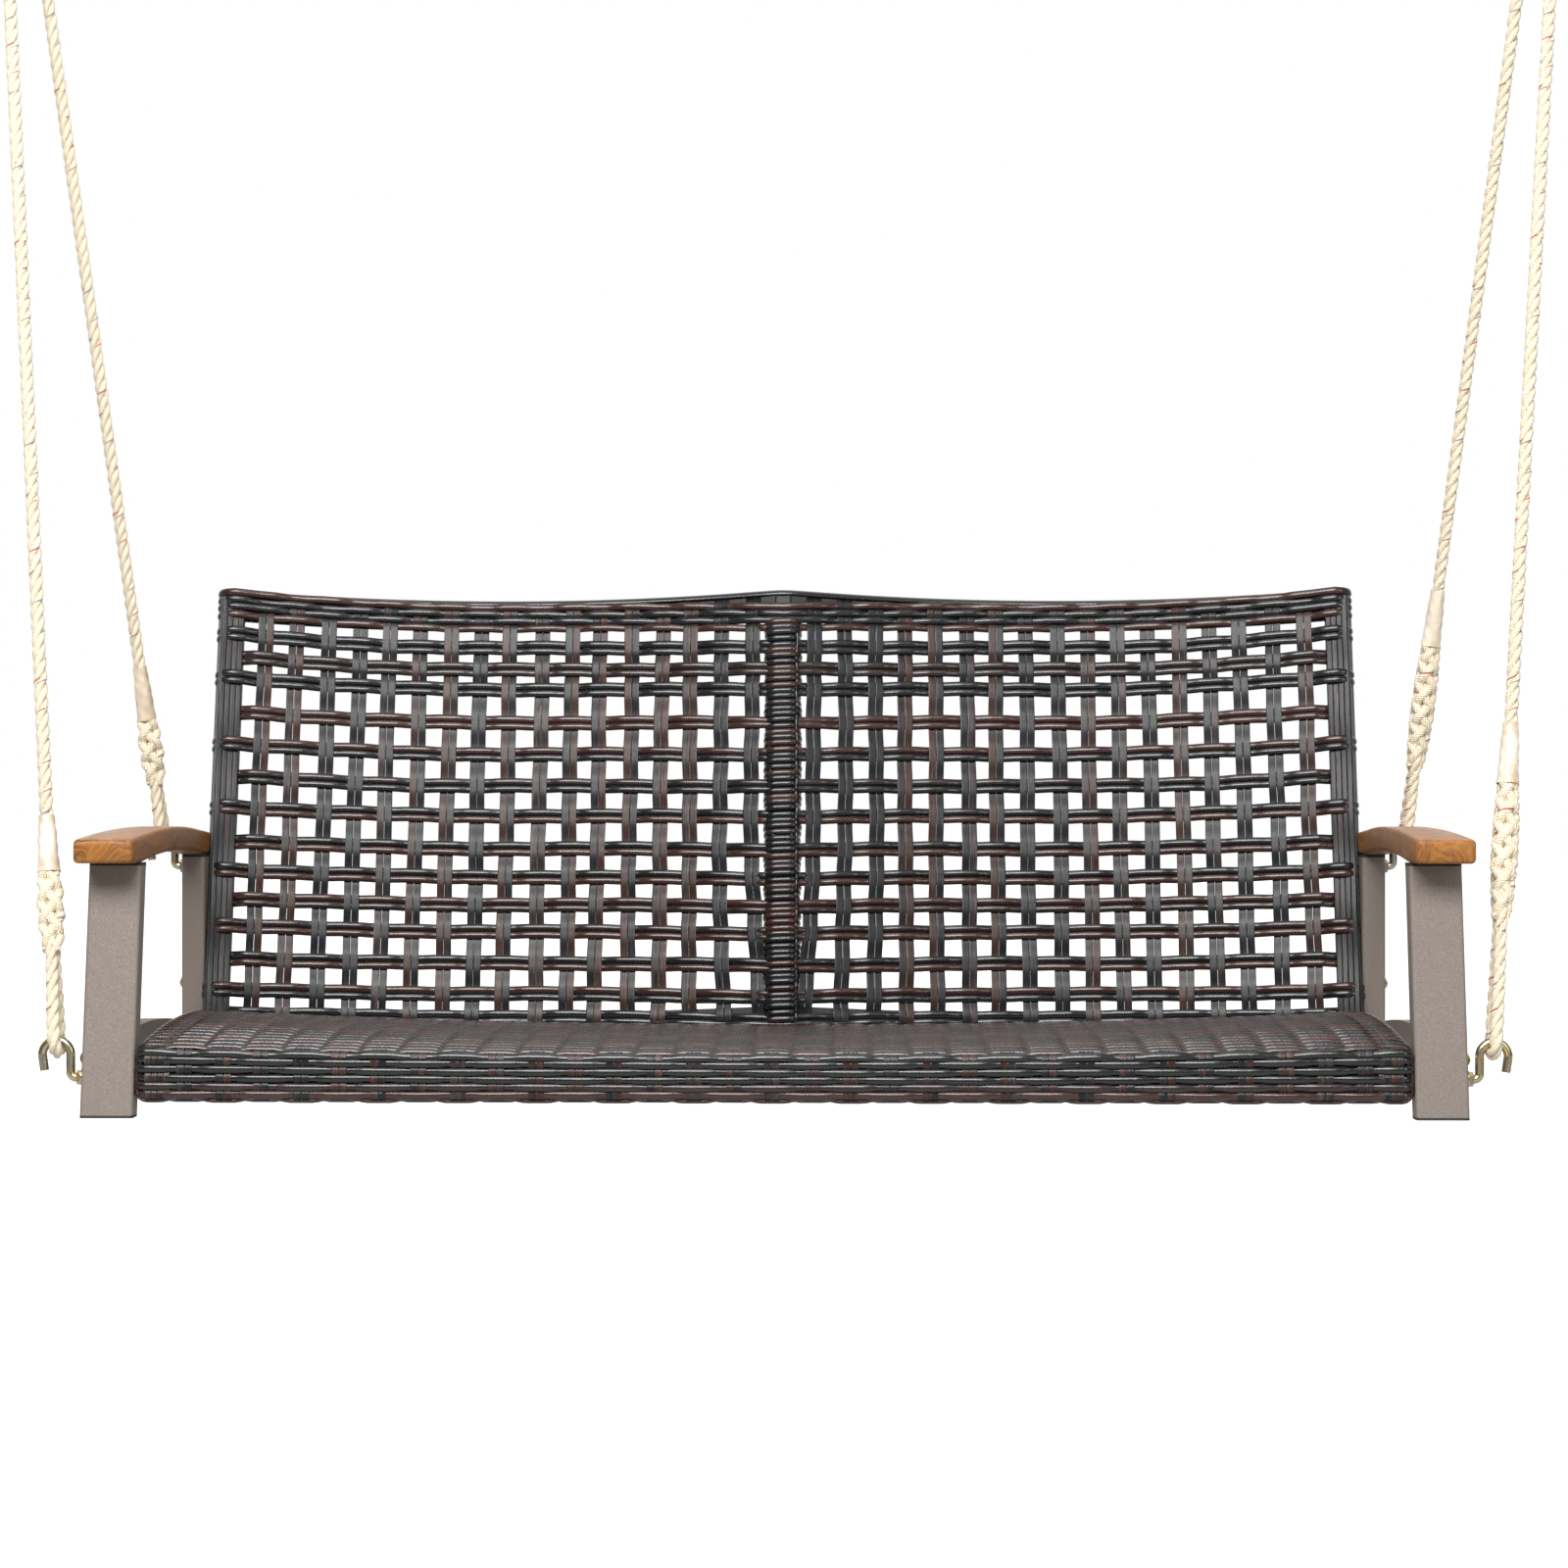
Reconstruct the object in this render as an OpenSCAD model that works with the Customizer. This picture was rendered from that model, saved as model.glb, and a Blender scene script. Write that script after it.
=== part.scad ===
// Hanging porch swing: a two-seat woven bench between two steel side frames,
// carried by four ropes that meet at a ring and a ceiling hook on each side.
// X runs across the bench, +Y to its back, +Z up. The origin is the middle of
// the swing axis, which passes through the saddles of the two ceiling hooks.

/* [Bench] */
// Width over the outer faces of the posts
bench_w = 1300; // [1100:10:1600]
// Height of the posts
post_h = 236; // [210:1:280]
// Front faces of the rear posts, behind the front foot
rear_post_y = 490; // [450:5:560]
// Thickness of the tube walls
wall = 1.5; // [1:0.1:2.5]

/* [Posts] */
// Width of a front post, across the bench
front_post_w = 50; // [40:1:60]
// Depth of a front post
front_post_d = 25; // [20:1:30]
// Backward lean of the front posts, in degrees
front_post_lean = 10; // [0:1:14]
// Width of a rear post, across the bench
rear_post_w = 25; // [20:1:35]
// Depth of a rear post
rear_post_d = 50; // [40:1:60]
// Thickness of the cap plate on a post
cap_t = 3; // [2:0.5:5]
// Thickness of the plug under a post
foot_t = 2.5; // [2:0.5:5]

/* [Armrests] */
// Width of an armrest at its front end
arm_front_w = 56; // [54:1:70]
// Overhang of an armrest past the outer face of the posts
arm_over = 5; // [0:1:6]
// Thickness of an armrest at its ends
arm_end_t = 20; // [16:1:30]
// Thickness of an armrest at its middle
arm_mid_t = 25; // [20:1:32]
// Rise of the arch under an armrest
arm_arch = 7; // [2:1:12]

/* [Seat] */
// Height of the apron's lower edge above the foot
apron_low = 15; // [5:1:25]
// Height of the seat's front edge above the foot
seat_front_h = 67; // [62:1:90]
// Height of the seat's crest above the foot
seat_crest_h = 85; // [80:1:110]
// Distance of the seat's crest behind the front foot
seat_crest_y = 215; // [180:5:260]
// Distance of the seat's rear edge behind the front foot
seat_rear_y = 465; // [430:5:480]
// Thickness of the woven sheets
weave_t = 4; // [3:0.5:6]
// Height of the seat frame's tubes
seat_tube_h = 25; // [20:1:30]
// Width of the seat frame's tubes
seat_tube_w = 20; // [16:1:25]

/* [Back] */
// Length of the back, up its slope
back_len = 482; // [380:2:560]
// Height of the back's lower edge above the foot
back_low = 60; // [50:1:80]
// Distance of the back's lower edge behind the front foot
back_y = 472; // [468:1:500]
// Recline of the back, in degrees
back_recline = 13; // [5:1:18]
// Depth of the hollow in each half of the back
back_hollow = 48; // [20:1:60]
// Side of the back frame's square tubes
back_tube = 18; // [14:1:22]

/* [Ropes and hangers] */
// Height of the swing axis above the feet
hang_drop = 1550; // [1300:10:1900]
// Distance of the swing axis behind the front foot
hang_setback = 330; // [200:1:360]
// Half the distance between the two ceiling hooks
hook_half = 810; // [720:5:900]
// Diameter of the rope
rope_d = 13; // [10:0.5:16]
// Diameter of the wire of the bench's hooks
wire_d = 8.4; // [7:0.2:10]
// Diameter of the wire of the rings and ceiling hooks
ring_wire_d = 10; // [8:0.5:12]
// Inside diameter of the rings
ring_bore_d = 60; // [56:1:80]
// Length of the ceiling hooks' screw shank
lag_len = 60; // [40:5:90]

/* [Hidden] */
$fn = 32;
gap = 0.3;
half_w = bench_w / 2;
post_r = 3.5;
front_in_x = half_w - front_post_w;
rear_in_x = half_w - rear_post_w;
cap_top = post_h + cap_t;
lean_tan = tan(front_post_lean);
rear_mid_y = rear_post_y + rear_post_d / 2;

// Bolts and hooks
bolt_r = 3;
bolt_head_r = 7;
bolt_head_t = 4;
nut_t = 4.5;
washer_t = 1.2;
hook_out = 12;
hook_bend = 5;
hook_arch = 13.4;
hook_tip = 15;
hook_rise = 34.8;
shank_in = 10;
front_hook_h = 37;
rear_hook_h = 226;
seat_bolt_h = 55;
back_bolt_h = [100, 183];
rail_bolt_y = 400;

// Seat
seat_x = front_in_x - 2;
seat_front_y = 2;
seat_run = seat_crest_y - seat_front_y;
seat_rise = seat_crest_h - seat_front_h;
seat_r = (seat_run * seat_run + seat_rise * seat_rise) / (2 * seat_rise);
seat_c = [seat_crest_y, seat_crest_h - seat_r];
seat_in_x = seat_x - weave_t + gap;
tube_y = seat_front_y + weave_t + gap;
support_drop = 22;
support_h = 14;
rail_t = 20;
rail_h = 30;
rail_drop = 8;
rail_x = half_w - rail_t - 2.5;

// Back
back_x = rear_in_x - 7;
back_half = back_x / 2;
back_r = (back_half * back_half + back_hollow * back_hollow) / (2 * back_hollow);
back_slope = back_half / back_r;
side_front = weave_t + gap + back_tube * back_slope * 1.15;
spine_front = weave_t + gap + back_tube / 2 * back_slope * 1.15;

// Hangers: a rope's four lengths are its leg, splice, sleeve and waist
rope_r = rope_d / 2;
eye_r = wire_d / 2 + rope_r + gap;
top_eye_r = ring_wire_d / 2 + rope_r + gap;
ring_r = (ring_bore_d + ring_wire_d) / 2;
ring_z = -(ring_bore_d - ring_wire_d) / 2 + gap;
eye_angle = 20;
leg_len = [90, 122, 60, 78];
splice_len = [74, 128, 68, 130];
sleeve_len = [55, 60, 58, 60];
top_leg = 60;
top_splice = 90;
splice_r = rope_d + 1;
seam = 0.05;
waist_r = rope_r * 1.1;
rope_rings = 18;
rope_sides = 8;

// ceiling hooks
saddle = 5;
saddle_bend = 12;
neck_bend = (saddle + saddle_bend) / 2;
leg_top = 30;
neck_z = leg_top + 2 * neck_bend;
collar_t = 4;
collar_z = neck_z + 8;

// post hooks and side rails
front_hook_y = front_hook_h * lean_tan + front_post_d / 2;
rail_r = seat_r;
rail_c = seat_c - [0, rail_drop];

// armrests
arm_y0 = -5;
arm_y1 = rear_post_y + rear_post_d + 10;
arm_len = arm_y1 - arm_y0;
arm_mid = (arm_y0 + arm_y1) / 2;
arm_out = half_w + arm_over;
arm_taper_y = rear_post_y - 20;
arm_top = cap_top + arm_end_t;
arm_rise = arm_arch + arm_mid_t - arm_end_t;
screw_r = 2.5;
screw_in = 12;

// ---- helpers ----

// Moves bench shapes, drawn from the front feet, to the swing's frame
module bench() {
    translate([0, -hang_setback, -hang_drop]) children();
}

// Rectangle with round corners, centred
module round_rect(w, d, r) {
    square([w - 2 * r, d], center = true);
    square([w, d - 2 * r], center = true);
    for (x = [-1, 1], y = [-1, 1])
        translate([x * (w / 2 - r), y * (d / 2 - r)]) circle(r = r);
}

// Section of a rectangular tube, centred
module tube_section(w, d) {
    difference() {
        round_rect(w, d, post_r);
        round_rect(w - 2 * wall, d - 2 * wall, post_r - wall);
    }
}

// Box between two corners
module block(a, b) {
    translate(a) cube(b - a);
}

// Ring-shaped bar about an axis along X: section x0..x1, r0..r1, at centre c
module side_arc(c, r0, r1, x0, x1, half_angle) {
    translate([0, c[0], c[1]])
        rotate([90, 0, 90])
            rotate([0, 0, 90 - half_angle])
                rotate_extrude(angle = 2 * half_angle, $fn = 720)
                    translate([r0, x0]) square([r1 - r0, x1 - x0]);
}

// Half ring or shorter of round wire in the XZ plane, from angle a0 over sweep a
module wire_arc(r, wire, a0, a) {
    rotate([90, 0, 0])
        rotate([0, 0, a0])
            rotate_extrude(angle = a, $fn = 64)
                translate([r, 0]) circle(d = wire);
}

module wire_up(p, len, wire) {
    translate(p) cylinder(h = len, d = wire);
}

module x_cylinder(x0, x1, y, z, r) {
    translate([x0, y, z]) rotate([0, 90, 0]) cylinder(h = x1 - x0, r = r);
}

// ---- ceiling hooks and rings ----

module ceiling_hook(side) {
    color("gainsboro")
    translate([side * hook_half, 0, 0]) {
        x_cylinder(-saddle, saddle, 0, 0, ring_wire_d / 2);
        translate([saddle, 0, saddle_bend]) wire_arc(saddle_bend, ring_wire_d, -90, 90);
        translate([-saddle, 0, saddle_bend]) wire_arc(saddle_bend, ring_wire_d, 180, 90);
        wire_up([saddle + saddle_bend, 0, saddle_bend], leg_top - saddle_bend, ring_wire_d);
        wire_up([-saddle - saddle_bend, 0, saddle_bend], saddle_bend, ring_wire_d);
        translate([neck_bend, 0, leg_top]) wire_arc(neck_bend, ring_wire_d, 0, 90);
        translate([neck_bend, 0, neck_z]) wire_arc(neck_bend, ring_wire_d, 180, 90);
        wire_up([0, 0, neck_z], collar_z - neck_z + collar_t + lag_len, ring_wire_d);
        translate([0, 0, collar_z]) cylinder(h = collar_t, r = ring_wire_d);
        translate([0, 0, collar_z + collar_t + lag_len])
            cylinder(h = ring_wire_d, r1 = ring_wire_d / 2, r2 = 1);
    }
}

module ring(side) {
    color("silver")
    translate([side * hook_half, 0, ring_z])
        rotate([0, 90, 0])
            rotate_extrude($fn = 96) translate([ring_r, 0]) circle(d = ring_wire_d);
}

// ---- ropes ----

// Where a rope's lower eye holds its hook: the wire's centre in the arch
function low_point(side, rear) = [
    side * (half_w + hook_out + hook_arch),
    (rear ? rear_mid_y : front_hook_h * lean_tan + front_post_d / 2) - hang_setback,
    (rear ? rear_hook_h : front_hook_h) + hook_rise - hang_drop];

// Where its upper eye holds the ring
function top_point(side, rear) = [
    side * hook_half,
    (rear ? 1 : -1) * ring_r * sin(eye_angle),
    ring_z - ring_r * cos(eye_angle)];

function rope_no(side, rear) = (rear ? 2 : 0) + (side > 0 ? 1 : 0);

// Places +Z of a shape along the rope, upwards from the lower eye
module on_rope(side, rear) {
    a = low_point(side, rear);
    v = top_point(side, rear) - a;
    translate(a)
        rotate([-atan2(v[1], norm([v[0], v[2]])), atan2(v[0], v[2]), 0]) children();
}

function rope_span(side, rear) = norm(top_point(side, rear) - low_point(side, rear));
function rope_start(i) = leg_len[i] + splice_len[i];

// Rings of points around a straight run from z0 to z1, skinned into a closed tube
function run_points(z0, z1) = [
    for (k = [0 : rope_rings - 1], s = [0 : rope_sides - 1])
        [rope_r * cos(s * 360 / rope_sides), rope_r * sin(s * 360 / rope_sides),
         z0 + (z1 - z0) * k / (rope_rings - 1)]];

function run_faces() = concat(
    [[for (s = [0 : rope_sides - 1]) s]],
    [for (k = [0 : rope_rings - 2], s = [0 : rope_sides - 1])
        let (a = k * rope_sides, b = a + rope_sides, t = (s + 1) % rope_sides)
            [a + s, b + s, b + t, a + t]],
    [[for (s = [rope_sides - 1 : -1 : 0]) (rope_rings - 1) * rope_sides + s]]);

module rope(side, rear) {
    color("wheat")
    on_rope(side, rear)
        polyhedron(
            run_points(rope_start(rope_no(side, rear)),
                       rope_span(side, rear) - top_leg - top_splice),
            run_faces());
}

// Loop of rope with straight legs, and the spliced barrel that they run up to
module spliced_eye(r, leg, splice) {
    rotate([90, 0, 90]) rotate([0, 0, 180])
        rotate_extrude(angle = 180, $fn = 64) translate([r, 0]) circle(r = rope_r);
    for (s = [-1, 1])
        translate([0, s * r, 0]) cylinder(h = leg - seam, r = rope_r);
    translate([0, 0, leg])
        rotate_extrude($fn = 48)
            polygon([[0, 0], [splice_r, 0], [splice_r, splice * 0.6],
                     [waist_r, splice - seam], [0, splice - seam]]);
}

module eye(side, rear) {
    i = rope_no(side, rear);
    color("burlywood")
    on_rope(side, rear) spliced_eye(eye_r, leg_len[i], splice_len[i]);
}

module top_eye(side, rear) {
    color("burlywood")
    on_rope(side, rear)
        translate([0, 0, rope_span(side, rear)])
            rotate([180, 0, 90]) spliced_eye(top_eye_r, top_leg, top_splice);
}

// Tapered tube shrunk over the rope above the lower splice
module sleeve(side, rear) {
    i = rope_no(side, rear);
    color("ivory")
    on_rope(side, rear)
        translate([0, 0, rope_start(i) + gap])
            difference() {
                cylinder(h = sleeve_len[i], r1 = rope_r + 4, r2 = rope_r + 1.2, $fn = 48);
                translate([0, 0, -1]) cylinder(h = sleeve_len[i] + 2, r = rope_r + gap);
            }
}

// ---- hooks on the posts ----

// One hook on the right-hand side, its screw axis at height z
module post_hook(y, z) {
    translate([half_w, y, z]) {
        x_cylinder(-shank_in, hook_out - hook_bend, 0, 0, wire_d / 2);
        translate([hook_out - hook_bend, 0, hook_bend]) wire_arc(hook_bend, wire_d, -90, 90);
        wire_up([hook_out, 0, hook_bend], hook_rise - hook_arch - hook_bend, wire_d);
        translate([hook_out + hook_arch, 0, hook_rise - hook_arch])
            wire_arc(hook_arch, wire_d, 0, 180);
        translate([hook_out + 2 * hook_arch, 0, hook_rise - hook_arch])
            rotate([0, 180 + 8, 0]) cylinder(h = hook_tip, d = wire_d);
    }
}

module mirrored(side) {
    mirror([side < 0 ? 1 : 0, 0, 0]) children();
}

module hook(side, rear) {
    color("darkkhaki")
    bench() mirrored(side)
        post_hook(rear ? rear_mid_y : front_hook_y, rear ? rear_hook_h : front_hook_h);
}

// Places a shape at each hook's screw, on the post's outer face, +Z outwards
module at_hooks() {
    for (s = [-1, 1], p = [[front_hook_y, front_hook_h], [rear_mid_y, rear_hook_h]])
        bench() mirrored(s)
            translate([half_w, p[0], p[1]]) rotate([0, 90, 0]) children();
}

module nut(r, bore) {
    difference() {
        cylinder(h = nut_t, r = r, $fn = 6);
        translate([0, 0, -1]) cylinder(h = nut_t + 2, r = bore);
    }
}

module hook_nuts() {
    color("darkkhaki")
    at_hooks() {
        translate([0, 0, washer_t + gap / 2]) nut(7, wire_d / 2 + gap / 10);
        translate([0, 0, -wall - nut_t - gap / 2]) nut(7, wire_d / 2 + gap / 10);
    }
}

module hook_washers() {
    color("khaki")
    at_hooks()
        difference() {
            cylinder(h = washer_t, r = 8.6);
            translate([0, 0, -1]) cylinder(h = washer_t + 2, r = wire_d / 2 + gap / 10);
        }
}

// ---- posts ----

// Slab of the bench's space between two heights
module between(z0, z1) {
    intersection() {
        children();
        block([-half_w * 2, -500, z0], [half_w * 2, 1500, z1]);
    }
}

// Sloping front-post space, for a centred section
module on_front_post() {
    translate([half_w - front_post_w / 2, front_post_d / 2 / cos(front_post_lean), 0])
        rotate([-front_post_lean, 0, 0])
            translate([0, 0, -50]) linear_extrude(height = post_h + 120) children();
}

module front_post(side) {
    color("rosybrown")
    bench() mirrored(side)
        difference() {
            between(foot_t, post_h) on_front_post() tube_section(front_post_w, front_post_d);
            x_cylinder(half_w - wall * 3, half_w + 1, front_hook_y, front_hook_h, wire_d / 2 + gap);
            x_cylinder(front_in_x - 1, half_w + 1, seat_bolt_y, seat_bolt_h, bolt_r + gap);
        }
}

module rear_post(side) {
    color("rosybrown")
    bench() mirrored(side)
        difference() {
            translate([half_w - rear_post_w / 2, rear_mid_y, foot_t])
                linear_extrude(height = post_h - foot_t) tube_section(rear_post_w, rear_post_d);
            x_cylinder(half_w - wall * 3, half_w + 1, rear_mid_y, rear_hook_h, wire_d / 2 + gap);
            for (h = back_bolt_h)
                x_cylinder(rear_in_x - 1, half_w + 1, back_bolt_y(h), h, bolt_r + gap);
        }
}

module foot_plugs() {
    color("black")
    for (s = [-1, 1]) bench() mirrored(s) {
        between(0, foot_t) on_front_post() round_rect(front_post_w, front_post_d, post_r);
        translate([half_w - rear_post_w / 2, rear_mid_y, 0])
            linear_extrude(height = foot_t) round_rect(rear_post_w, rear_post_d, post_r);
    }
}

module post_caps() {
    color("dimgray")
    for (s = [-1, 1]) bench() mirrored(s)
        difference() {
            union() {
                between(post_h, cap_top) on_front_post() round_rect(front_post_w, front_post_d, post_r);
                translate([half_w - rear_post_w / 2, rear_mid_y, post_h])
                    linear_extrude(height = cap_t) round_rect(rear_post_w, rear_post_d, post_r);
            }
            at_arm_screws() translate([0, 0, -20]) cylinder(h = 40, r = screw_r + gap);
        }
}

// Arched bar that ties the posts together beside the seat

module side_rail(side) {
    color("rosybrown")
    bench() mirrored(side)
        difference() {
            intersection() {
                difference() {
                    side_arc(rail_c, rail_r - rail_h, rail_r, rail_x, rail_x + rail_t, 16);
                    side_arc(rail_c, rail_r - rail_h + wall, rail_r - wall,
                             rail_x + wall, rail_x + rail_t - wall, 17);
                }
                block([0, 0, 0], [half_w, rear_post_y, post_h]);
            }
            on_front_post() square([front_post_w, front_post_d], center = true);
            translate([0, -200, 0]) on_front_post() square([front_post_w, 400], center = true);
            x_cylinder(rail_x - 1, half_w, rail_bolt_y, rail_bolt_z, bolt_r + gap);
        }
}

// ---- armrests ----

// Radius of an arc that rises by h over a run of w
function arc_r(w, h) = (w * w / 4 + h * h) / (2 * h);

// Side view of an armrest: y across, z up, arched over and under
module arm_side() {
    top_r = arc_r(arm_len, arm_rise);
    low_r = arc_r(arm_len - 120, arm_arch);
    difference() {
        intersection() {
            translate([arm_y0, cap_top]) square([arm_len, arm_end_t + arm_rise]);
            translate([arm_mid, arm_top + arm_rise - top_r]) circle(r = top_r, $fn = 128);
        }
        translate([arm_mid, cap_top + arm_arch - low_r]) circle(r = low_r, $fn = 128);
    }
}

// Plan of an armrest: it narrows to the rear so that it clears the back
module arm_plan() {
    polygon([
        [arm_out, arm_y0], [arm_out, arm_y1], [rear_in_x - gap, arm_y1],
        [rear_in_x - gap, arm_taper_y], [arm_out - arm_front_w, arm_y0 + 30],
        [arm_out - arm_front_w, arm_y0]]);
}

// Places a shape at each armrest screw, at the cap's top, +Z up
module at_arm_screws() {
    for (p = [[half_w - front_post_w * 0.5, front_post_d / 2 + post_h * lean_tan],
              [half_w - rear_post_w / 2, rear_mid_y]])
        translate([p[0], p[1], cap_top]) children();
}

module armrest(side) {
    color("peru")
    bench() mirrored(side)
        difference() {
            intersection() {
                rotate([90, 0, 90]) linear_extrude(height = half_w * 2) arm_side();
                linear_extrude(height = post_h * 2) arm_plan();
            }
            at_arm_screws() translate([0, 0, -1]) cylinder(h = screw_in + 1 + gap, r = screw_r + gap / 10);
        }
}

module armrest_screws() {
    color("silver")
    for (s = [-1, 1]) bench() mirrored(s) at_arm_screws() {
        translate([0, 0, -cap_t - gap]) cylinder(h = cap_t + gap + screw_in, r = screw_r);
        translate([0, 0, -cap_t - gap - 3]) cylinder(h = 3, r = 4.5);
    }
}

// ---- seat ----

module seat_front_tube() {
    color("gray")
    bench() difference() {
        block([-seat_in_x + seat_tube_w + gap, tube_y, apron_low + 5],
              [seat_in_x - seat_tube_w - gap, tube_y + seat_tube_w, seat_front_h - weave_t - 3]);
        block([-seat_x, tube_y + wall, apron_low + 5 + wall],
              [seat_x, tube_y + seat_tube_w - wall, seat_front_h - weave_t - 3 - wall]);
    }
}

rear_tube_top = seat_c[1] + sqrt(pow(seat_r - weave_t - gap, 2) - pow(seat_rear_y - seat_c[0], 2)) - 2;

module seat_rear_tube() {
    color("gray")
    bench() difference() {
        block([-seat_in_x + seat_tube_w + gap, seat_rear_y - seat_tube_w, rear_tube_top - seat_tube_w],
              [seat_in_x - seat_tube_w - gap, seat_rear_y, rear_tube_top]);
        block([-seat_x, seat_rear_y - seat_tube_w + wall, rear_tube_top - seat_tube_w + wall],
              [seat_x, seat_rear_y - wall, rear_tube_top - wall]);
    }
}

module seat_side(side) {
    top = seat_r - weave_t - gap;
    color("gray")
    bench() mirrored(side)
        difference() {
            intersection() {
                side_arc(seat_c, top - seat_tube_h, top, seat_in_x - seat_tube_w, seat_in_x, 16);
                block([0, tube_y, 0], [half_w, seat_rear_y, post_h]);
            }
            side_arc(seat_c, top - seat_tube_h + wall, top - wall,
                     seat_in_x - seat_tube_w + wall, seat_in_x - wall, 17);
            x_cylinder(seat_in_x - wall * 2, half_w, seat_bolt_y, seat_bolt_h, bolt_r + gap);
            x_cylinder(seat_in_x - wall * 2, half_w, rail_bolt_y, rail_bolt_z, bolt_r + gap);
        }
}

// Three arched bars under the woven sheet, low enough for it to sag
module seat_supports() {
    top = seat_r - weave_t - support_drop;
    color("gray")
    bench()
        for (x = [-seat_in_x / 2, 0, seat_in_x / 2])
            intersection() {
                side_arc(seat_c, top - support_h, top, x - seat_tube_w / 2, x + seat_tube_w / 2, 16);
                block([-half_w, tube_y + seat_tube_w + gap / 10, 0],
                      [half_w, seat_rear_y - seat_tube_w - gap / 10, post_h]);
            }
}

module seat_weave() {
    color("saddlebrown")
    bench() intersection() {
        side_arc(seat_c, seat_r - weave_t, seat_r, -seat_x, seat_x, 16);
        block([-half_w, seat_front_y, 0], [half_w, seat_rear_y + weave_t, post_h]);
    }
}

module seat_apron() {
    color("maroon")
    bench()
        block([-seat_x, seat_front_y, apron_low],
              [seat_x, seat_front_y + weave_t, seat_front_h - weave_t - 1]);
}

// ---- bolts and spacers ----

seat_bolt_y = seat_bolt_h * lean_tan + front_post_d / 2;
rail_bolt_z = seat_c[1] + sqrt(pow(seat_r - weave_t - seat_tube_h / 2, 2) - pow(rail_bolt_y - seat_c[0], 2));
function back_bolt_y(h) = back_y + (h - back_low) * tan(back_recline)
    + (side_front + back_tube / 2) / cos(back_recline);

// Dome-headed bolt from x1 inwards to x0
module dome_bolt(x0, x1, y, z) {
    x_cylinder(x0, x1 + 1, y, z, bolt_r);
    translate([x1 + gap / 10, y, z]) rotate([0, 90, 0])
        rotate_extrude($fn = 48) intersection() {
            translate([0, -bolt_head_r * 1.1 + bolt_head_t]) circle(r = bolt_head_r * 1.1);
            square([bolt_head_r, bolt_head_t]);
        }
}

module seat_bolts() {
    color("darkkhaki")
    for (s = [-1, 1]) bench() mirrored(s)
        dome_bolt(seat_in_x - 8, half_w, seat_bolt_y, seat_bolt_h);
}

module rail_bolts() {
    color("darkkhaki")
    for (s = [-1, 1]) bench() mirrored(s)
        dome_bolt(seat_in_x - 8, rail_x + rail_t, rail_bolt_y, rail_bolt_z);
}

module back_bolts() {
    color("darkkhaki")
    for (s = [-1, 1], h = back_bolt_h) bench() mirrored(s)
        dome_bolt(back_x - 8, half_w, back_bolt_y(h), h);
}

module spacer(x0, x1, y, z) {
    difference() {
        x_cylinder(x0, x1, y, z, bolt_r + 3);
        x_cylinder(x0 - 1, x1 + 1, y, z, bolt_r + gap);
    }
}

module seat_spacers() {
    color("dimgray")
    for (s = [-1, 1]) bench() mirrored(s) {
        spacer(seat_in_x + gap / 10, front_in_x - gap / 10, seat_bolt_y, seat_bolt_h);
        spacer(seat_in_x + gap / 10, rail_x - gap / 10, rail_bolt_y, rail_bolt_z);
    }
}

module back_spacers() {
    color("dimgray")
    for (s = [-1, 1], h = back_bolt_h) bench() mirrored(s)
        spacer(back_x + gap / 10, rear_in_x - gap / 10, back_bolt_y(h), h);
}

// ---- back ----

// The back's own frame: x across, y behind its front surface, z up its slope
module back_frame() {
    bench() translate([0, back_y, back_low]) rotate([-back_recline, 0, 0]) children();
}

// Upright sheet or bar on the right half, curved in plan, r0..r1 behind its front
module back_arc(r0, r1, z0, z1) {
    translate([back_half, back_hollow - back_r, z0])
        rotate([0, 0, 90 - 22])
            rotate_extrude(angle = 44, $fn = 360)
                translate([back_r + r0, 0]) square([r1 - r0, z1 - z0]);
}

module back_weave(side) {
    color("saddlebrown")
    back_frame() mirrored(side)
        intersection() {
            back_arc(0, weave_t, 0, back_len);
            block([gap / 2, -100, -1], [back_x, 200, back_len + 1]);
        }
}

module square_tube(z0, z1) {
    translate([0, 0, z0])
        linear_extrude(height = z1 - z0)
            difference() {
                round_rect(back_tube, back_tube, 2.5);
                round_rect(back_tube - 2 * wall, back_tube - 2 * wall, 1);
            }
}

tube_len = back_len - 4;

module back_side(side) {
    color("gray")
    difference() {
        back_frame() mirrored(side)
            translate([back_x - back_tube / 2, side_front + back_tube / 2, 0])
                square_tube(0, tube_len);
        for (h = back_bolt_h) bench() mirrored(side)
            x_cylinder(back_x - 2 * wall, half_w, back_bolt_y(h), h, bolt_r + gap);
    }
}

module back_spine() {
    color("gray")
    back_frame() translate([0, spine_front + back_tube / 2, 0]) square_tube(0, tube_len);
}

// Curved rails between the spine and the side tubes, both halves
module back_rails(z0, z1) {
    color("gray")
    for (s = [-1, 1]) back_frame() mirrored(s)
        intersection() {
            difference() {
                back_arc(weave_t + gap, weave_t + gap + back_tube, z0, z1);
                back_arc(weave_t + gap + wall, weave_t + gap + back_tube - wall,
                         z0 + wall, z1 - wall);
            }
            block([back_tube / 2 + gap / 10, -100, -1],
                  [back_x - back_tube - gap / 10, 200, back_len]);
        }
}

module back_top_tube() {
    back_rails(tube_len - back_tube, tube_len);
}

module back_bottom_tube() {
    back_rails(0, back_tube);
}

// ---- nodes ----

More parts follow.
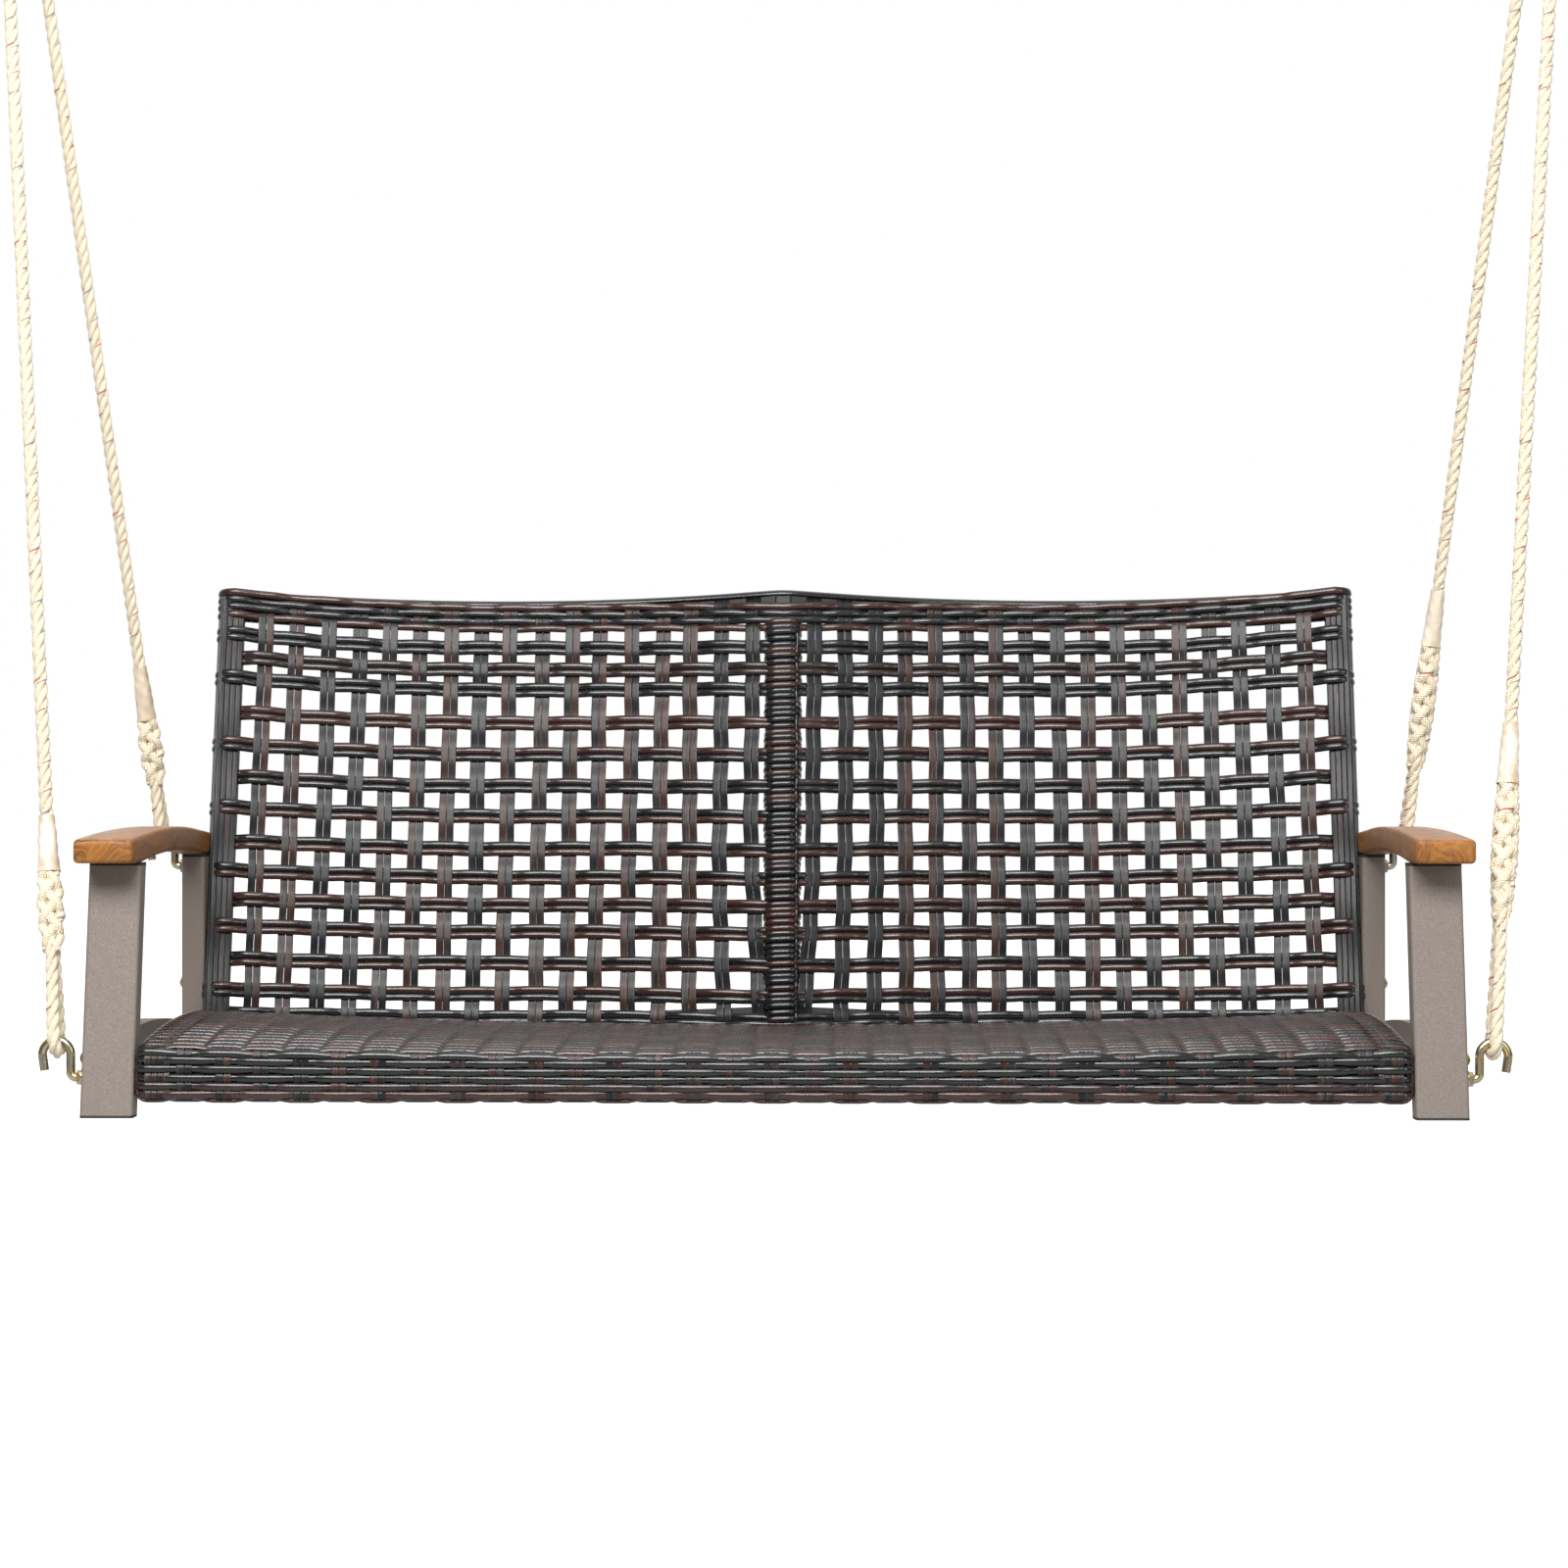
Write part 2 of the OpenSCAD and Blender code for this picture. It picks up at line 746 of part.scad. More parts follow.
ceiling_hook(-1);  // ceiling_hook_left
ceiling_hook(1);  // ceiling_hook_right
ring(-1);  // ring_left
ring(1);  // ring_right
rope(-1, false);  // rope_front_left
rope(1, false);  // rope_front_right
rope(-1, true);  // rope_rear_left
rope(1, true);  // rope_rear_right
eye(-1, false);  // eye_front_left
eye(1, false);  // eye_front_right
eye(-1, true);  // eye_rear_left
eye(1, true);  // eye_rear_right
top_eye(-1, false);  // top_eye_front_left
top_eye(1, false);  // top_eye_front_right
top_eye(-1, true);  // top_eye_rear_left
top_eye(1, true);  // top_eye_rear_right
sleeve(-1, false);  // sleeve_front_left
sleeve(1, false);  // sleeve_front_right
sleeve(-1, true);  // sleeve_rear_left
sleeve(1, true);  // sleeve_rear_right
hook(-1, false);  // hook_front_left
hook(1, false);  // hook_front_right
hook(-1, true);  // hook_rear_left
hook(1, true);  // hook_rear_right
hook_nuts();
hook_washers();
front_post(-1);  // front_post_left
front_post(1);  // front_post_right
rear_post(-1);  // rear_post_left
rear_post(1);  // rear_post_right
foot_plugs();
post_caps();
side_rail(-1);  // side_rail_left
side_rail(1);  // side_rail_right
armrest(-1);  // armrest_left
armrest(1);  // armrest_right
armrest_screws();
seat_front_tube();
seat_rear_tube();
seat_side(-1);  // seat_side_left
seat_side(1);  // seat_side_right
seat_supports();
seat_weave();
seat_apron();
seat_bolts();
rail_bolts();
seat_spacers();
back_side(-1);  // back_side_left
back_side(1);  // back_side_right
back_spine();
back_top_tube();
back_bottom_tube();
back_weave(-1);  // back_weave_left
back_weave(1);  // back_weave_right
back_bolts();
back_spacers();
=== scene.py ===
"""Porch swing: a two-seat woven bench on four spliced ropes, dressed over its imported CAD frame.

Lengths inside the classes are millimetres in the bench's own axes (x across, y back from the front
feet, h up from the feet) unless a name says otherwise. World positions are metres in the row frame.
"""

import logging
import math
from dataclasses import dataclass, field
from enum import Enum

import bpy
import numpy as np
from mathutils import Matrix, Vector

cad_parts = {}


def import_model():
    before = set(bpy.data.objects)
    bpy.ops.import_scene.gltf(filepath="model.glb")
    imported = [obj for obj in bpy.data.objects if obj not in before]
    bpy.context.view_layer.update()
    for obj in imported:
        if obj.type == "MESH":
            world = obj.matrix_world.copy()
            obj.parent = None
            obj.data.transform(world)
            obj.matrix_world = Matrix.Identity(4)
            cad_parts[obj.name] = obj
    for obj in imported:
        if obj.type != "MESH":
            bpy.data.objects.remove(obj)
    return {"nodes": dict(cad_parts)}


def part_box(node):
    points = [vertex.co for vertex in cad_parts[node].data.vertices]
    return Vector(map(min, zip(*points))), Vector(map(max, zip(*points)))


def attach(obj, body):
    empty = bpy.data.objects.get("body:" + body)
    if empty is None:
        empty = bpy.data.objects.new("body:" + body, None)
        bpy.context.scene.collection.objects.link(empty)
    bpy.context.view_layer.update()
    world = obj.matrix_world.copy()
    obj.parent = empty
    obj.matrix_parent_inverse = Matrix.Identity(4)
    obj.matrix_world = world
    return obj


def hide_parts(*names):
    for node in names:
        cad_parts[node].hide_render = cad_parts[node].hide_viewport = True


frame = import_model()

LOG = logging.getLogger("porch_swing")
MM = 0.001
SEED = 11
SWING = "swing"
CEILING = "ceiling_hooks"
STRAND_UV = "strand"


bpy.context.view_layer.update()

FEET_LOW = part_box("foot_plugs")[0]
SETBACK = -FEET_LOW[1] / MM
DROP = -FEET_LOW[2] / MM


def world(x, y, h) -> np.ndarray:
    """Bench-local millimetres to row-frame metres.

    Args:
        x, y, h: arrays or numbers, across, back and up.

    Returns:
        An array whose last axis holds the three coordinates.
    """
    x, y, h = np.broadcast_arrays(np.asarray(x, float), y, h)
    return np.stack([x, y - SETBACK, h - DROP], axis=-1) * MM


def unit(vectors: np.ndarray) -> np.ndarray:
    """The same vectors at length one."""
    return vectors / np.maximum(np.linalg.norm(vectors, axis=-1, keepdims=True), 1e-12)


class Sheen(Enum):
    """How a surface shines."""

    SATIN = "satin"
    GLOSS = "gloss"
    METAL = "metal"


@dataclass(frozen=True)
class Finish:
    """The numbers behind one procedural material."""

    name: str
    base: tuple
    accent: tuple
    roughness: float
    sheen: Sheen = Sheen.SATIN
    bump: float = 0.3


CHARCOAL = Finish("strand_charcoal", (0.0035, 0.0038, 0.0045), (0.020, 0.021, 0.025), 0.24, Sheen.GLOSS, 0.12)
BROWN = Finish("strand_brown", (0.026, 0.008, 0.005), (0.085, 0.031, 0.021), 0.26, Sheen.GLOSS, 0.12)
DUSK = Finish("strand_dusk", (0.011, 0.0055, 0.0045), (0.045, 0.026, 0.021), 0.26, Sheen.GLOSS, 0.12)
# The strips' light accents are painted sheen: the strand effect lays them in slow patches along each strip,
# where light would catch the ribs.
STRIP_CHARCOAL = Finish("strip_charcoal", (0.004, 0.0043, 0.005), (0.07, 0.072, 0.083), 0.33, bump=0.18)
STRIP_BROWN = Finish("strip_brown", (0.024, 0.009, 0.006), (0.17, 0.09, 0.074), 0.34, bump=0.18)
STRIP_DUSK = Finish("strip_dusk", (0.012, 0.0075, 0.007), (0.19, 0.148, 0.14), 0.34, bump=0.18)
COAT = Finish("taupe_powder_coat", (0.235, 0.196, 0.170), (0.150, 0.125, 0.108), 0.5, bump=0.3)
BLACK_COAT = Finish("black_powder_coat", (0.014, 0.014, 0.015), (0.03, 0.03, 0.032), 0.5)
RUBBER = Finish("black_plug", (0.012, 0.012, 0.013), (0.03, 0.03, 0.03), 0.6, bump=0.15)
ZINC = Finish("yellow_zinc", (0.60, 0.47, 0.24), (0.40, 0.40, 0.34), 0.24, Sheen.METAL, bump=0.08)
STEEL = Finish("hanger_steel", (0.52, 0.53, 0.54), (0.36, 0.37, 0.39), 0.3, Sheen.METAL, bump=0.1)
ROPE = Finish("cream_rope", (0.60, 0.49, 0.32), (0.86, 0.78, 0.63), 0.8, bump=0.8)
SLEEVE = Finish("cloudy_sleeve", (0.52, 0.41, 0.27), (0.74, 0.67, 0.57), 0.3, Sheen.GLOSS, 0.6)
WOOD = Finish("acacia", (0.27, 0.098, 0.019), (0.085, 0.027, 0.006), 0.36, bump=0.25)


# ---- shaders ----


class Tree:
    """A thin wrapper that adds and joins shader nodes."""

    def __init__(self, tree: bpy.types.NodeTree) -> None:
        """Wraps a node tree."""
        self.tree = tree

    def add(self, kind: str, **values) -> bpy.types.Node:
        """A new node.

        Args:
            kind: the node's type, without the ShaderNode prefix.
            values: its properties, or its inputs where a name matches one.

        Returns:
            The node.
        """
        node = self.tree.nodes.new("ShaderNode" + kind)
        for key, value in values.items():
            name = key.replace("_", " ")
            if hasattr(node, key):
                setattr(node, key, value)
            else:
                self.put(node, name, value)
        return node

    def put(self, node: bpy.types.Node, name: str, value) -> None:
        """Sets or links one input, found by name without regard to case.

        Args:
            node: the node that has the input.
            name: the input's name.
            value: a number, a colour or a socket.
        """
        socket = next(s for s in node.inputs if s.name.lower() == name.lower() and s.enabled)
        if isinstance(value, bpy.types.NodeSocket):
            self.tree.links.new(value, socket)
        else:
            socket.default_value = value

    def math(self, operation: str, *terms) -> bpy.types.NodeSocket:
        """One arithmetic step on numbers or sockets.

        Args:
            operation: the Math node's operation.
            terms: up to three numbers or sockets.

        Returns:
            The result's socket.
        """
        node = self.tree.nodes.new("ShaderNodeMath")
        node.operation = operation
        for socket, term in zip(node.inputs, terms):
            if isinstance(term, bpy.types.NodeSocket):
                self.tree.links.new(term, socket)
            else:
                socket.default_value = term
        return node.outputs[0]

    def mix(self, factor, low, high) -> bpy.types.NodeSocket:
        """A colour between two others.

        Args:
            factor: the share of the second colour.
            low: the first colour.
            high: the second colour.

        Returns:
            The result's socket.
        """
        node = self.tree.nodes.new("ShaderNodeMix")
        node.data_type = "RGBA"
        for index, term in ((0, factor), (6, low), (7, high)):
            if isinstance(term, bpy.types.NodeSocket):
                self.tree.links.new(term, node.inputs[index])
            else:
                node.inputs[index].default_value = (*term, 1.0) if index else term
        return node.outputs[2]

    def ramp(self, value: bpy.types.NodeSocket, low: float, high: float) -> bpy.types.NodeSocket:
        """value stretched so that low gives 0 and high gives 1.

        Args:
            value: the socket to stretch.
            low: where the result is 0.
            high: where the result is 1.

        Returns:
            The result's socket.
        """
        node = self.tree.nodes.new("ShaderNodeMapRange")
        self.tree.links.new(value, node.inputs[0])
        node.inputs[1].default_value = low
        node.inputs[2].default_value = high
        return node.outputs[0]

    def noise(self, vector, scale, detail: float = 3.0, stretch=(1, 1, 1)) -> bpy.types.NodeSocket:
        """Noise on a stretched copy of a coordinate.

        Args:
            vector: the coordinate.
            scale: the noise's scale.
            detail: its detail.
            stretch: how much finer it is on each axis.

        Returns:
            The noise's socket, from 0 to 1.
        """
        mapping = self.tree.nodes.new("ShaderNodeMapping")
        self.tree.links.new(vector, mapping.inputs[0])
        mapping.inputs["Scale"].default_value = stretch
        node = self.tree.nodes.new("ShaderNodeTexNoise")
        self.tree.links.new(mapping.outputs[0], node.inputs["Vector"])
        node.inputs["Scale"].default_value = scale
        node.inputs["Detail"].default_value = detail
        return node.outputs["Fac"]

    def bump(self, height: bpy.types.NodeSocket, strength, distance: float) -> bpy.types.NodeSocket:
        """A normal bent by a height.

        Args:
            height: the socket that gives the height.
            strength: a number or a socket.
            distance: the height in metres that 1 stands for.

        Returns:
            The normal's socket.
        """
        node = self.tree.nodes.new("ShaderNodeBump")
        self.tree.links.new(height, node.inputs["Height"])
        if isinstance(strength, bpy.types.NodeSocket):
            self.tree.links.new(strength, node.inputs["Strength"])
        else:
            node.inputs["Strength"].default_value = strength
        node.inputs["Distance"].default_value = distance
        return node.outputs[0]


class Effect:
    """A shared shader group that gives a colour, a roughness and a normal."""

    def __init__(self, name: str) -> None:
        """Makes the group, with its three inputs and three outputs."""
        self.group = bpy.data.node_groups.new(name, "ShaderNodeTree")
        face = self.group.interface
        face.new_socket(name="Base", in_out="INPUT", socket_type="NodeSocketColor")
        face.new_socket(name="Accent", in_out="INPUT", socket_type="NodeSocketColor")
        face.new_socket(name="Roughness", in_out="INPUT", socket_type="NodeSocketFloat")
        face.new_socket(name="Bump", in_out="INPUT", socket_type="NodeSocketFloat")
        face.new_socket(name="Color", in_out="OUTPUT", socket_type="NodeSocketColor")
        face.new_socket(name="Roughness", in_out="OUTPUT", socket_type="NodeSocketFloat")
        face.new_socket(name="Normal", in_out="OUTPUT", socket_type="NodeSocketVector")
        self.given = self.group.nodes.new("NodeGroupInput")
        self.result = self.group.nodes.new("NodeGroupOutput")
        self.tree = Tree(self.group)

    def close(self, color, roughness, normal) -> bpy.types.NodeTree:
        """Joins the results to the group's outputs.

        Args:
            color: the colour's socket.
            roughness: the roughness's socket.
            normal: the normal's socket.

        Returns:
            The finished group.
        """
        for socket, value in zip(self.result.inputs, (color, roughness, normal)):
            self.group.links.new(value, socket)
        return self.group


def strand_effect() -> bpy.types.NodeTree:
    """Streaks that run along a moulded strand, a little different on each one; on the ribbed strips the light
    accent in slow patches is painted sheen.
    """
    effect = Effect("StrandStreaksAndSheen")
    t = effect.tree
    base, accent, rough, bump = effect.given.outputs[:4]
    uv = t.add("UVMap", uv_map=STRAND_UV).outputs[0]
    parts = t.add("SeparateXYZ", Vector=uv)
    own = t.add("TexWhiteNoise", noise_dimensions="1D", W=t.math("FLOOR", parts.outputs[1]))
    fine = t.noise(uv, 1.0, 4.0, (55.0, 14.0, 1.0))
    slow = t.noise(uv, 1.0, 2.0, (9.0, 1.7, 1.0))
    mottle = t.noise(uv, 1.0, 3.0, (420.0, 9.0, 1.0))
    # Accent share: real streaks on the round strands, painted sheen in slow patches on the ribbed strips.
    streak_and_sheen = t.math("MULTIPLY", t.ramp(fine, 0.42, 0.75), t.ramp(slow, 0.3, 0.7))
    streak_and_sheen = t.math("MULTIPLY", streak_and_sheen, t.math("MULTIPLY_ADD", own.outputs["Value"], 0.6, 0.35))
    color = t.mix(streak_and_sheen, base, accent)
    dark = t.mix(0.5, color, (0.004, 0.004, 0.004))
    color = t.mix(t.math("MULTIPLY", t.ramp(mottle, 0.56, 0.8), 0.5), color, dark)
    roughness = t.math("ADD", rough, t.math("MULTIPLY_ADD", mottle, 0.22, -0.08))
    normal = t.bump(t.math("ADD", fine, mottle), bump, 0.0006)
    return effect.close(color, roughness, normal)


def coat_effect() -> bpy.types.NodeTree:
    """Fine orange-peel powder coat with a faint speckle and slow unevenness."""
    effect = Effect("PowderCoat")
    t = effect.tree
    base, accent, rough, bump = effect.given.outputs[:4]
    place = t.add("TexCoord").outputs["Object"]
    speck = t.noise(place, 900.0, 2.0)
    peel = t.noise(place, 380.0, 2.0)
    slow = t.noise(place, 7.0, 3.0)
    color = t.mix(t.ramp(speck, 0.35, 0.68), accent, base)
    color = t.mix(t.math("MULTIPLY", t.ramp(slow, 0.3, 0.75), 0.18), color, accent)
    roughness = t.math("ADD", rough, t.math("MULTIPLY_ADD", slow, 0.12, -0.06))
    return effect.close(color, roughness, t.bump(t.math("ADD", speck, peel), bump, 0.0004))


def plating_effect() -> bpy.types.NodeTree:
    """Passivated plating whose tint drifts from one place to the next."""
    effect = Effect("Plating")
    t = effect.tree
    base, accent, rough, bump = effect.given.outputs[:4]
    place = t.add("TexCoord").outputs["Object"]
    patch = t.noise(place, 90.0, 2.0)
    rose = t.noise(place, 160.0, 1.0, (1.0, 1.3, 0.8))
    fine = t.noise(place, 1400.0, 2.0)
    color = t.mix(t.ramp(patch, 0.4, 0.62), base, accent)
    color = t.mix(t.math("MULTIPLY", t.ramp(rose, 0.55, 0.72), 0.3), color, (0.55, 0.28, 0.26))
    roughness = t.math("ADD", rough, t.math("MULTIPLY_ADD", patch, 0.2, -0.08))
    return effect.close(color, roughness, t.bump(fine, bump, 0.0002))


def wood_effect() -> bpy.types.NodeTree:
    """Acacia grain along the board, with darker figure, pores and a warm oil finish."""
    effect = Effect("WoodGrain")
    t = effect.tree
    base, accent, rough, bump = effect.given.outputs[:4]
    place = t.add("TexCoord").outputs["Object"]
    bend = t.noise(place, 3.5, 2.0, (2.5, 0.7, 2.5))
    warped = t.add("VectorMath", operation="MULTIPLY_ADD")
    t.tree.links.new(place, warped.inputs[0])
    warped.inputs[1].default_value = (1.0, 1.0, 1.0)
    t.tree.links.new(bend, warped.inputs[2])
    figure = t.noise(warped.outputs[0], 1.0, 3.0, (42.0, 5.0, 70.0))
    pores = t.noise(warped.outputs[0], 1.0, 3.0, (620.0, 26.0, 700.0))
    fine = t.noise(warped.outputs[0], 1.0, 4.0, (210.0, 9.0, 260.0))
    color = t.mix(t.ramp(figure, 0.40, 0.64), base, accent)
    color = t.mix(t.math("MULTIPLY", t.ramp(fine, 0.35, 0.68), 0.45), color, (0.50, 0.235, 0.065))
    color = t.mix(t.math("MULTIPLY", t.ramp(pores, 0.58, 0.72), 0.55), color, (0.08, 0.028, 0.008))
    roughness = t.math("ADD", rough, t.math("MULTIPLY_ADD", fine, 0.2, -0.1))
    return effect.close(color, roughness, t.bump(t.math("ADD", pores, fine), bump, 0.0006))


def rope_effect() -> bpy.types.NodeTree:
    """Twisted yarns along each strand of a rope, with tracer yarns that surface now and then."""
    effect = Effect("RopeYarns")
    t = effect.tree
    base, accent, rough, bump = effect.given.outputs[:4]
    uv = t.add("UVMap", uv_map=STRAND_UV).outputs[0]
    parts = t.add("SeparateXYZ", Vector=uv)
    along, across = parts.outputs[0], parts.outputs[1]
    twisted = t.math("MULTIPLY_ADD", along, 34.0, across)
    yarns = t.math("SINE", t.math("MULTIPLY", twisted, 2 * math.pi * 9))
    hair = t.noise(uv, 1.0, 4.0, (260.0, 18.0, 1.0))
    slow = t.noise(uv, 1.0, 3.0, (14.0, 0.9, 1.0))
    color = t.mix(t.ramp(t.math("ADD", hair, t.math("MULTIPLY", yarns, 0.13)), 0.3, 0.65), base, accent)
    color = t.mix(t.math("MULTIPLY", t.ramp(slow, 0.5, 0.75), 0.35), color, (0.66, 0.50, 0.30))
    strand = t.math("FLOOR", across)
    turn = t.math("FRACT", twisted)
    line = t.math("LESS_THAN", t.math("ABSOLUTE", t.math("SUBTRACT", turn, 0.5)), 0.045)
    gate = t.math("GREATER_THAN", t.noise(uv, 1.0, 0.0, (21.0, 1.0, 1.0)), 0.53)
    red = t.math("LESS_THAN", t.math("MODULO", strand, 3.0), 0.5)
    red = t.math("MULTIPLY", t.math("MULTIPLY", line, gate), red)
    blue = t.math("COMPARE", t.math("MODULO", strand, 6.0), 1.0, 0.3)
    blue = t.math("MULTIPLY", t.math("MULTIPLY", line, gate), blue)
    color = t.mix(t.math("MULTIPLY", red, 0.85), color, (0.36, 0.035, 0.045))
    color = t.mix(t.math("MULTIPLY", blue, 0.7), color, (0.06, 0.07, 0.16))
    height = t.math("ADD", t.math("MULTIPLY", yarns, 0.35), hair)
    roughness = t.math("MULTIPLY_ADD", hair, 0.2, t.math("SUBTRACT", rough, 0.1))
    return effect.close(color, roughness, t.bump(height, bump, 0.0009))


def sleeve_effect() -> bpy.types.NodeTree:
    """Milky shrunk plastic with the rope's cream showing through in clouds."""
    effect = Effect("CloudySleeve")
    t = effect.tree
    base, accent, rough, bump = effect.given.outputs[:4]
    place = t.add("TexCoord").outputs["Object"]
    cloud = t.noise(place, 55.0, 3.0, (1.0, 1.0, 0.4))
    ripple = t.noise(place, 160.0, 2.0, (1.0, 1.0, 0.6))
    color = t.mix(t.ramp(cloud, 0.35, 0.65), base, accent)
    roughness = t.math("ADD", rough, t.math("MULTIPLY_ADD", cloud, 0.25, -0.1))
    return effect.close(color, roughness, t.bump(ripple, bump, 0.0015))


class Finishes:
    """Makes each material once, from its finish and the shared effects."""

    def __init__(self) -> None:
        """Builds the shared effects."""
        self.effects = {
            "strand": strand_effect(),
            "coat": coat_effect(),
            "plating": plating_effect(),
            "wood": wood_effect(),
            "rope": rope_effect(),
            "sleeve": sleeve_effect(),
        }
        self.made: dict[str, bpy.types.Material] = {}

    def get(self, finish: Finish, effect: str) -> bpy.types.Material:
        """The material of a finish.

        Args:
            finish: its numbers.
            effect: the shared effect that it uses.

        Returns:
            The material, made on the first call.
        """
        if finish.name in self.made:
            return self.made[finish.name]
        material = bpy.data.materials.new(finish.name)
        material.use_nodes = True
        tree = material.node_tree
        shader = tree.nodes["Principled BSDF"]
        group = tree.nodes.new("ShaderNodeGroup")
        group.node_tree = self.effects[effect]
        group.inputs["Base"].default_value = (*finish.base, 1.0)
        group.inputs["Accent"].default_value = (*finish.accent, 1.0)
        group.inputs["Roughness"].default_value = finish.roughness
        group.inputs["Bump"].default_value = finish.bump
        tree.links.new(group.outputs["Color"], shader.inputs["Base Color"])
        tree.links.new(group.outputs["Roughness"], shader.inputs["Roughness"])
        tree.links.new(group.outputs["Normal"], shader.inputs["Normal"])
        shader.inputs["Metallic"].default_value = 1.0 if finish.sheen is Sheen.METAL else 0.0
        if finish.sheen is Sheen.SATIN:
            shader.inputs["Specular IOR Level"].default_value = 0.3
        if finish.sheen is Sheen.GLOSS:
            shader.inputs["Coat Weight"].default_value = 0.25
            shader.inputs["Coat Roughness"].default_value = 0.16
        material.diffuse_color = (*finish.base, 1.0)
        self.made[finish.name] = material
        return material


# ---- meshes ----


def half_round(width: float, height: float, sides: int = 6) -> np.ndarray:
    """A strand's section: flat inside, crowned outside, counter-clockwise.

    Args:
        width: its width.
        height: its height.
        sides: the steps along the crown.

    Returns:
        Points, across and outwards.
    """
    turn = np.linspace(0, math.pi, sides + 1)
    crown = np.stack([np.cos(turn) * width / 2, np.sin(turn) * height * 0.72], axis=1)
    flat = np.array([[-width * 0.42, -height * 0.28], [width * 0.42, -height * 0.28]])
    return np.vstack([crown, flat])


def ribbed(width: float, height: float, ribs: int = 3) -> np.ndarray:
    """A flat strand's section with ribs along its outer face, counter-clockwise.

    Args:
        width: its width.
        height: its height.
        ribs: how many ribs.

    Returns:
        Points, across and outwards.
    """
    steps = 2 * ribs + 1
    across = np.linspace(width / 2, -width / 2, steps)
    rise = np.where(np.arange(steps) % 2 == 1, height / 2, height * 0.22)
    return np.vstack([np.stack([across, rise], 1), [[-width / 2, -height / 2], [width / 2, -height / 2]]])


def round_section(radius: float, sides: int = 10) -> np.ndarray:
    """A round section, counter-clockwise."""
    turn = np.linspace(0, 2 * math.pi, sides, endpoint=False)
    return np.stack([np.cos(turn), np.sin(turn)], axis=1) * radius


@dataclass
class Bundle:
    """Many swept strands gathered into one piece."""

    name: str
    materials: list
    verts: list = field(default_factory=list)
    faces: list = field(default_factory=list)
    slots: list = field(default_factory=list)
    coords: list = field(default_factory=list)
    strands: int = 0
    count: int = 0

    def sweep(self, path, outward, section, slot: int = 0, closed: bool = False) -> None:
        """Adds one strand.

        Args:
            path: its centre points, in metres.
            outward: the direction in which its section's second axis points, at each point.
            section: the section's corners in metres, one array, or one for each point.
            slot: which of the piece's materials it takes.
            closed: whether the path ends where it starts.
        """
        path, n = np.asarray(path), len(path)
        if closed:
            along = unit(np.roll(path, -1, axis=0) - np.roll(path, 1, axis=0))
        else:
            along = unit(np.gradient(path, axis=0))
        side = unit(np.cross(along, outward))
        up = np.cross(side, along)
        section = np.asarray(section)
        if section.ndim == 2:
            section = np.broadcast_to(section, (n, *section.shape))
        m = section.shape[1]
        rings = path[:, None] + side[:, None] * section[..., :1] + up[:, None] * section[..., 1:]
        spans = n if closed else n - 1
        first = np.arange(spans)[:, None] * m
        after = (np.arange(1, spans + 1) % n)[:, None] * m
        k = np.arange(m)[None, :]
        k_next = (k + 1) % m
        quads = np.stack([first + k, after + k, after + k_next, first + k_next], axis=-1)
        lengths = np.concatenate([[0], np.cumsum(np.linalg.norm(np.diff(path, axis=0), axis=1))])
        lengths = np.append(lengths, lengths[-1] + np.linalg.norm(path[0] - path[-1]))
        low = np.broadcast_to(lengths[:spans, None], (spans, m))
        high = np.broadcast_to(lengths[1 : spans + 1, None], (spans, m))
        here = np.broadcast_to(self.strands + k * 0.9 / m, (spans, m))
        there = here + 0.9 / m
        coords = np.stack([low, here, high, here, high, there, low, there], -1)
        self.verts.append(rings.reshape(-1, 3))
        self.faces += (quads.reshape(-1, 4) + self.count).tolist()
        self.coords.append(coords.reshape(-1, 2))
        self.slots += [slot] * (spans * m)
        if not closed:
            caps = (np.arange(m), np.arange(m)[::-1] + (n - 1) * m)
            for cap, length in zip(caps, (0.0, lengths[n - 1])):
                self.faces.append((cap + self.count).tolist())
                self.coords.append(np.tile([length, self.strands + 0.45], (m, 1)))
                self.slots.append(slot)
        self.count += n * m
        self.strands += 1

    def build(self, body: str, stands_for: tuple = (), sharp: float = 50.0) -> bpy.types.Object:
        """The finished object, riding on its body.

        Args:
            body: the CAD body it moves with.
            stands_for: the CAD nodes it replaces.
            sharp: edges that turn more than this many degrees stay crisp.

        Returns:
            The object.
        """
        mesh = bpy.data.meshes.new(self.name)
        mesh.from_pydata(np.vstack(self.verts).tolist(), [], self.faces)
        for material in self.materials:
            mesh.materials.append(material)
        mesh.polygons.foreach_set("material_index", self.slots)
        layer = mesh.uv_layers.new(name=STRAND_UV)
        layer.uv.foreach_set("vector", np.vstack(self.coords).astype(np.float32).ravel())
        mesh.shade_smooth()
        mesh.set_sharp_from_angle(angle=math.radians(sharp))
        mesh.update()
        piece = bpy.data.objects.new(self.name, mesh)
        bpy.context.scene.collection.objects.link(piece)
        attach(piece, body)
        if stands_for:
            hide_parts(*stands_for)
        LOG.info("%s: %d strands, %d faces", self.name, self.strands, len(self.faces))
        return piece


def eased(at: np.ndarray, knots: np.ndarray, values: np.ndarray, flat: float = 0.22) -> np.ndarray:
    """Values at the knots, with level stretches at each and smooth slopes between.

    Args:
        at: where to read.
        knots: increasing positions.
        values: the value at each knot.
        flat: the share of each gap, on both sides, that stays level.

    Returns:
        The values at each place.
    """
    index = np.clip(np.searchsorted(knots, at) - 1, 0, len(knots) - 2)
    share = (at - knots[index]) / (knots[index + 1] - knots[index])
    share = np.clip((share - flat) / (1 - 2 * flat), 0, 1)
    share = share * share * (3 - 2 * share)
    return values[index] * (1 - share) + values[index + 1] * share


# ---- woven back ----


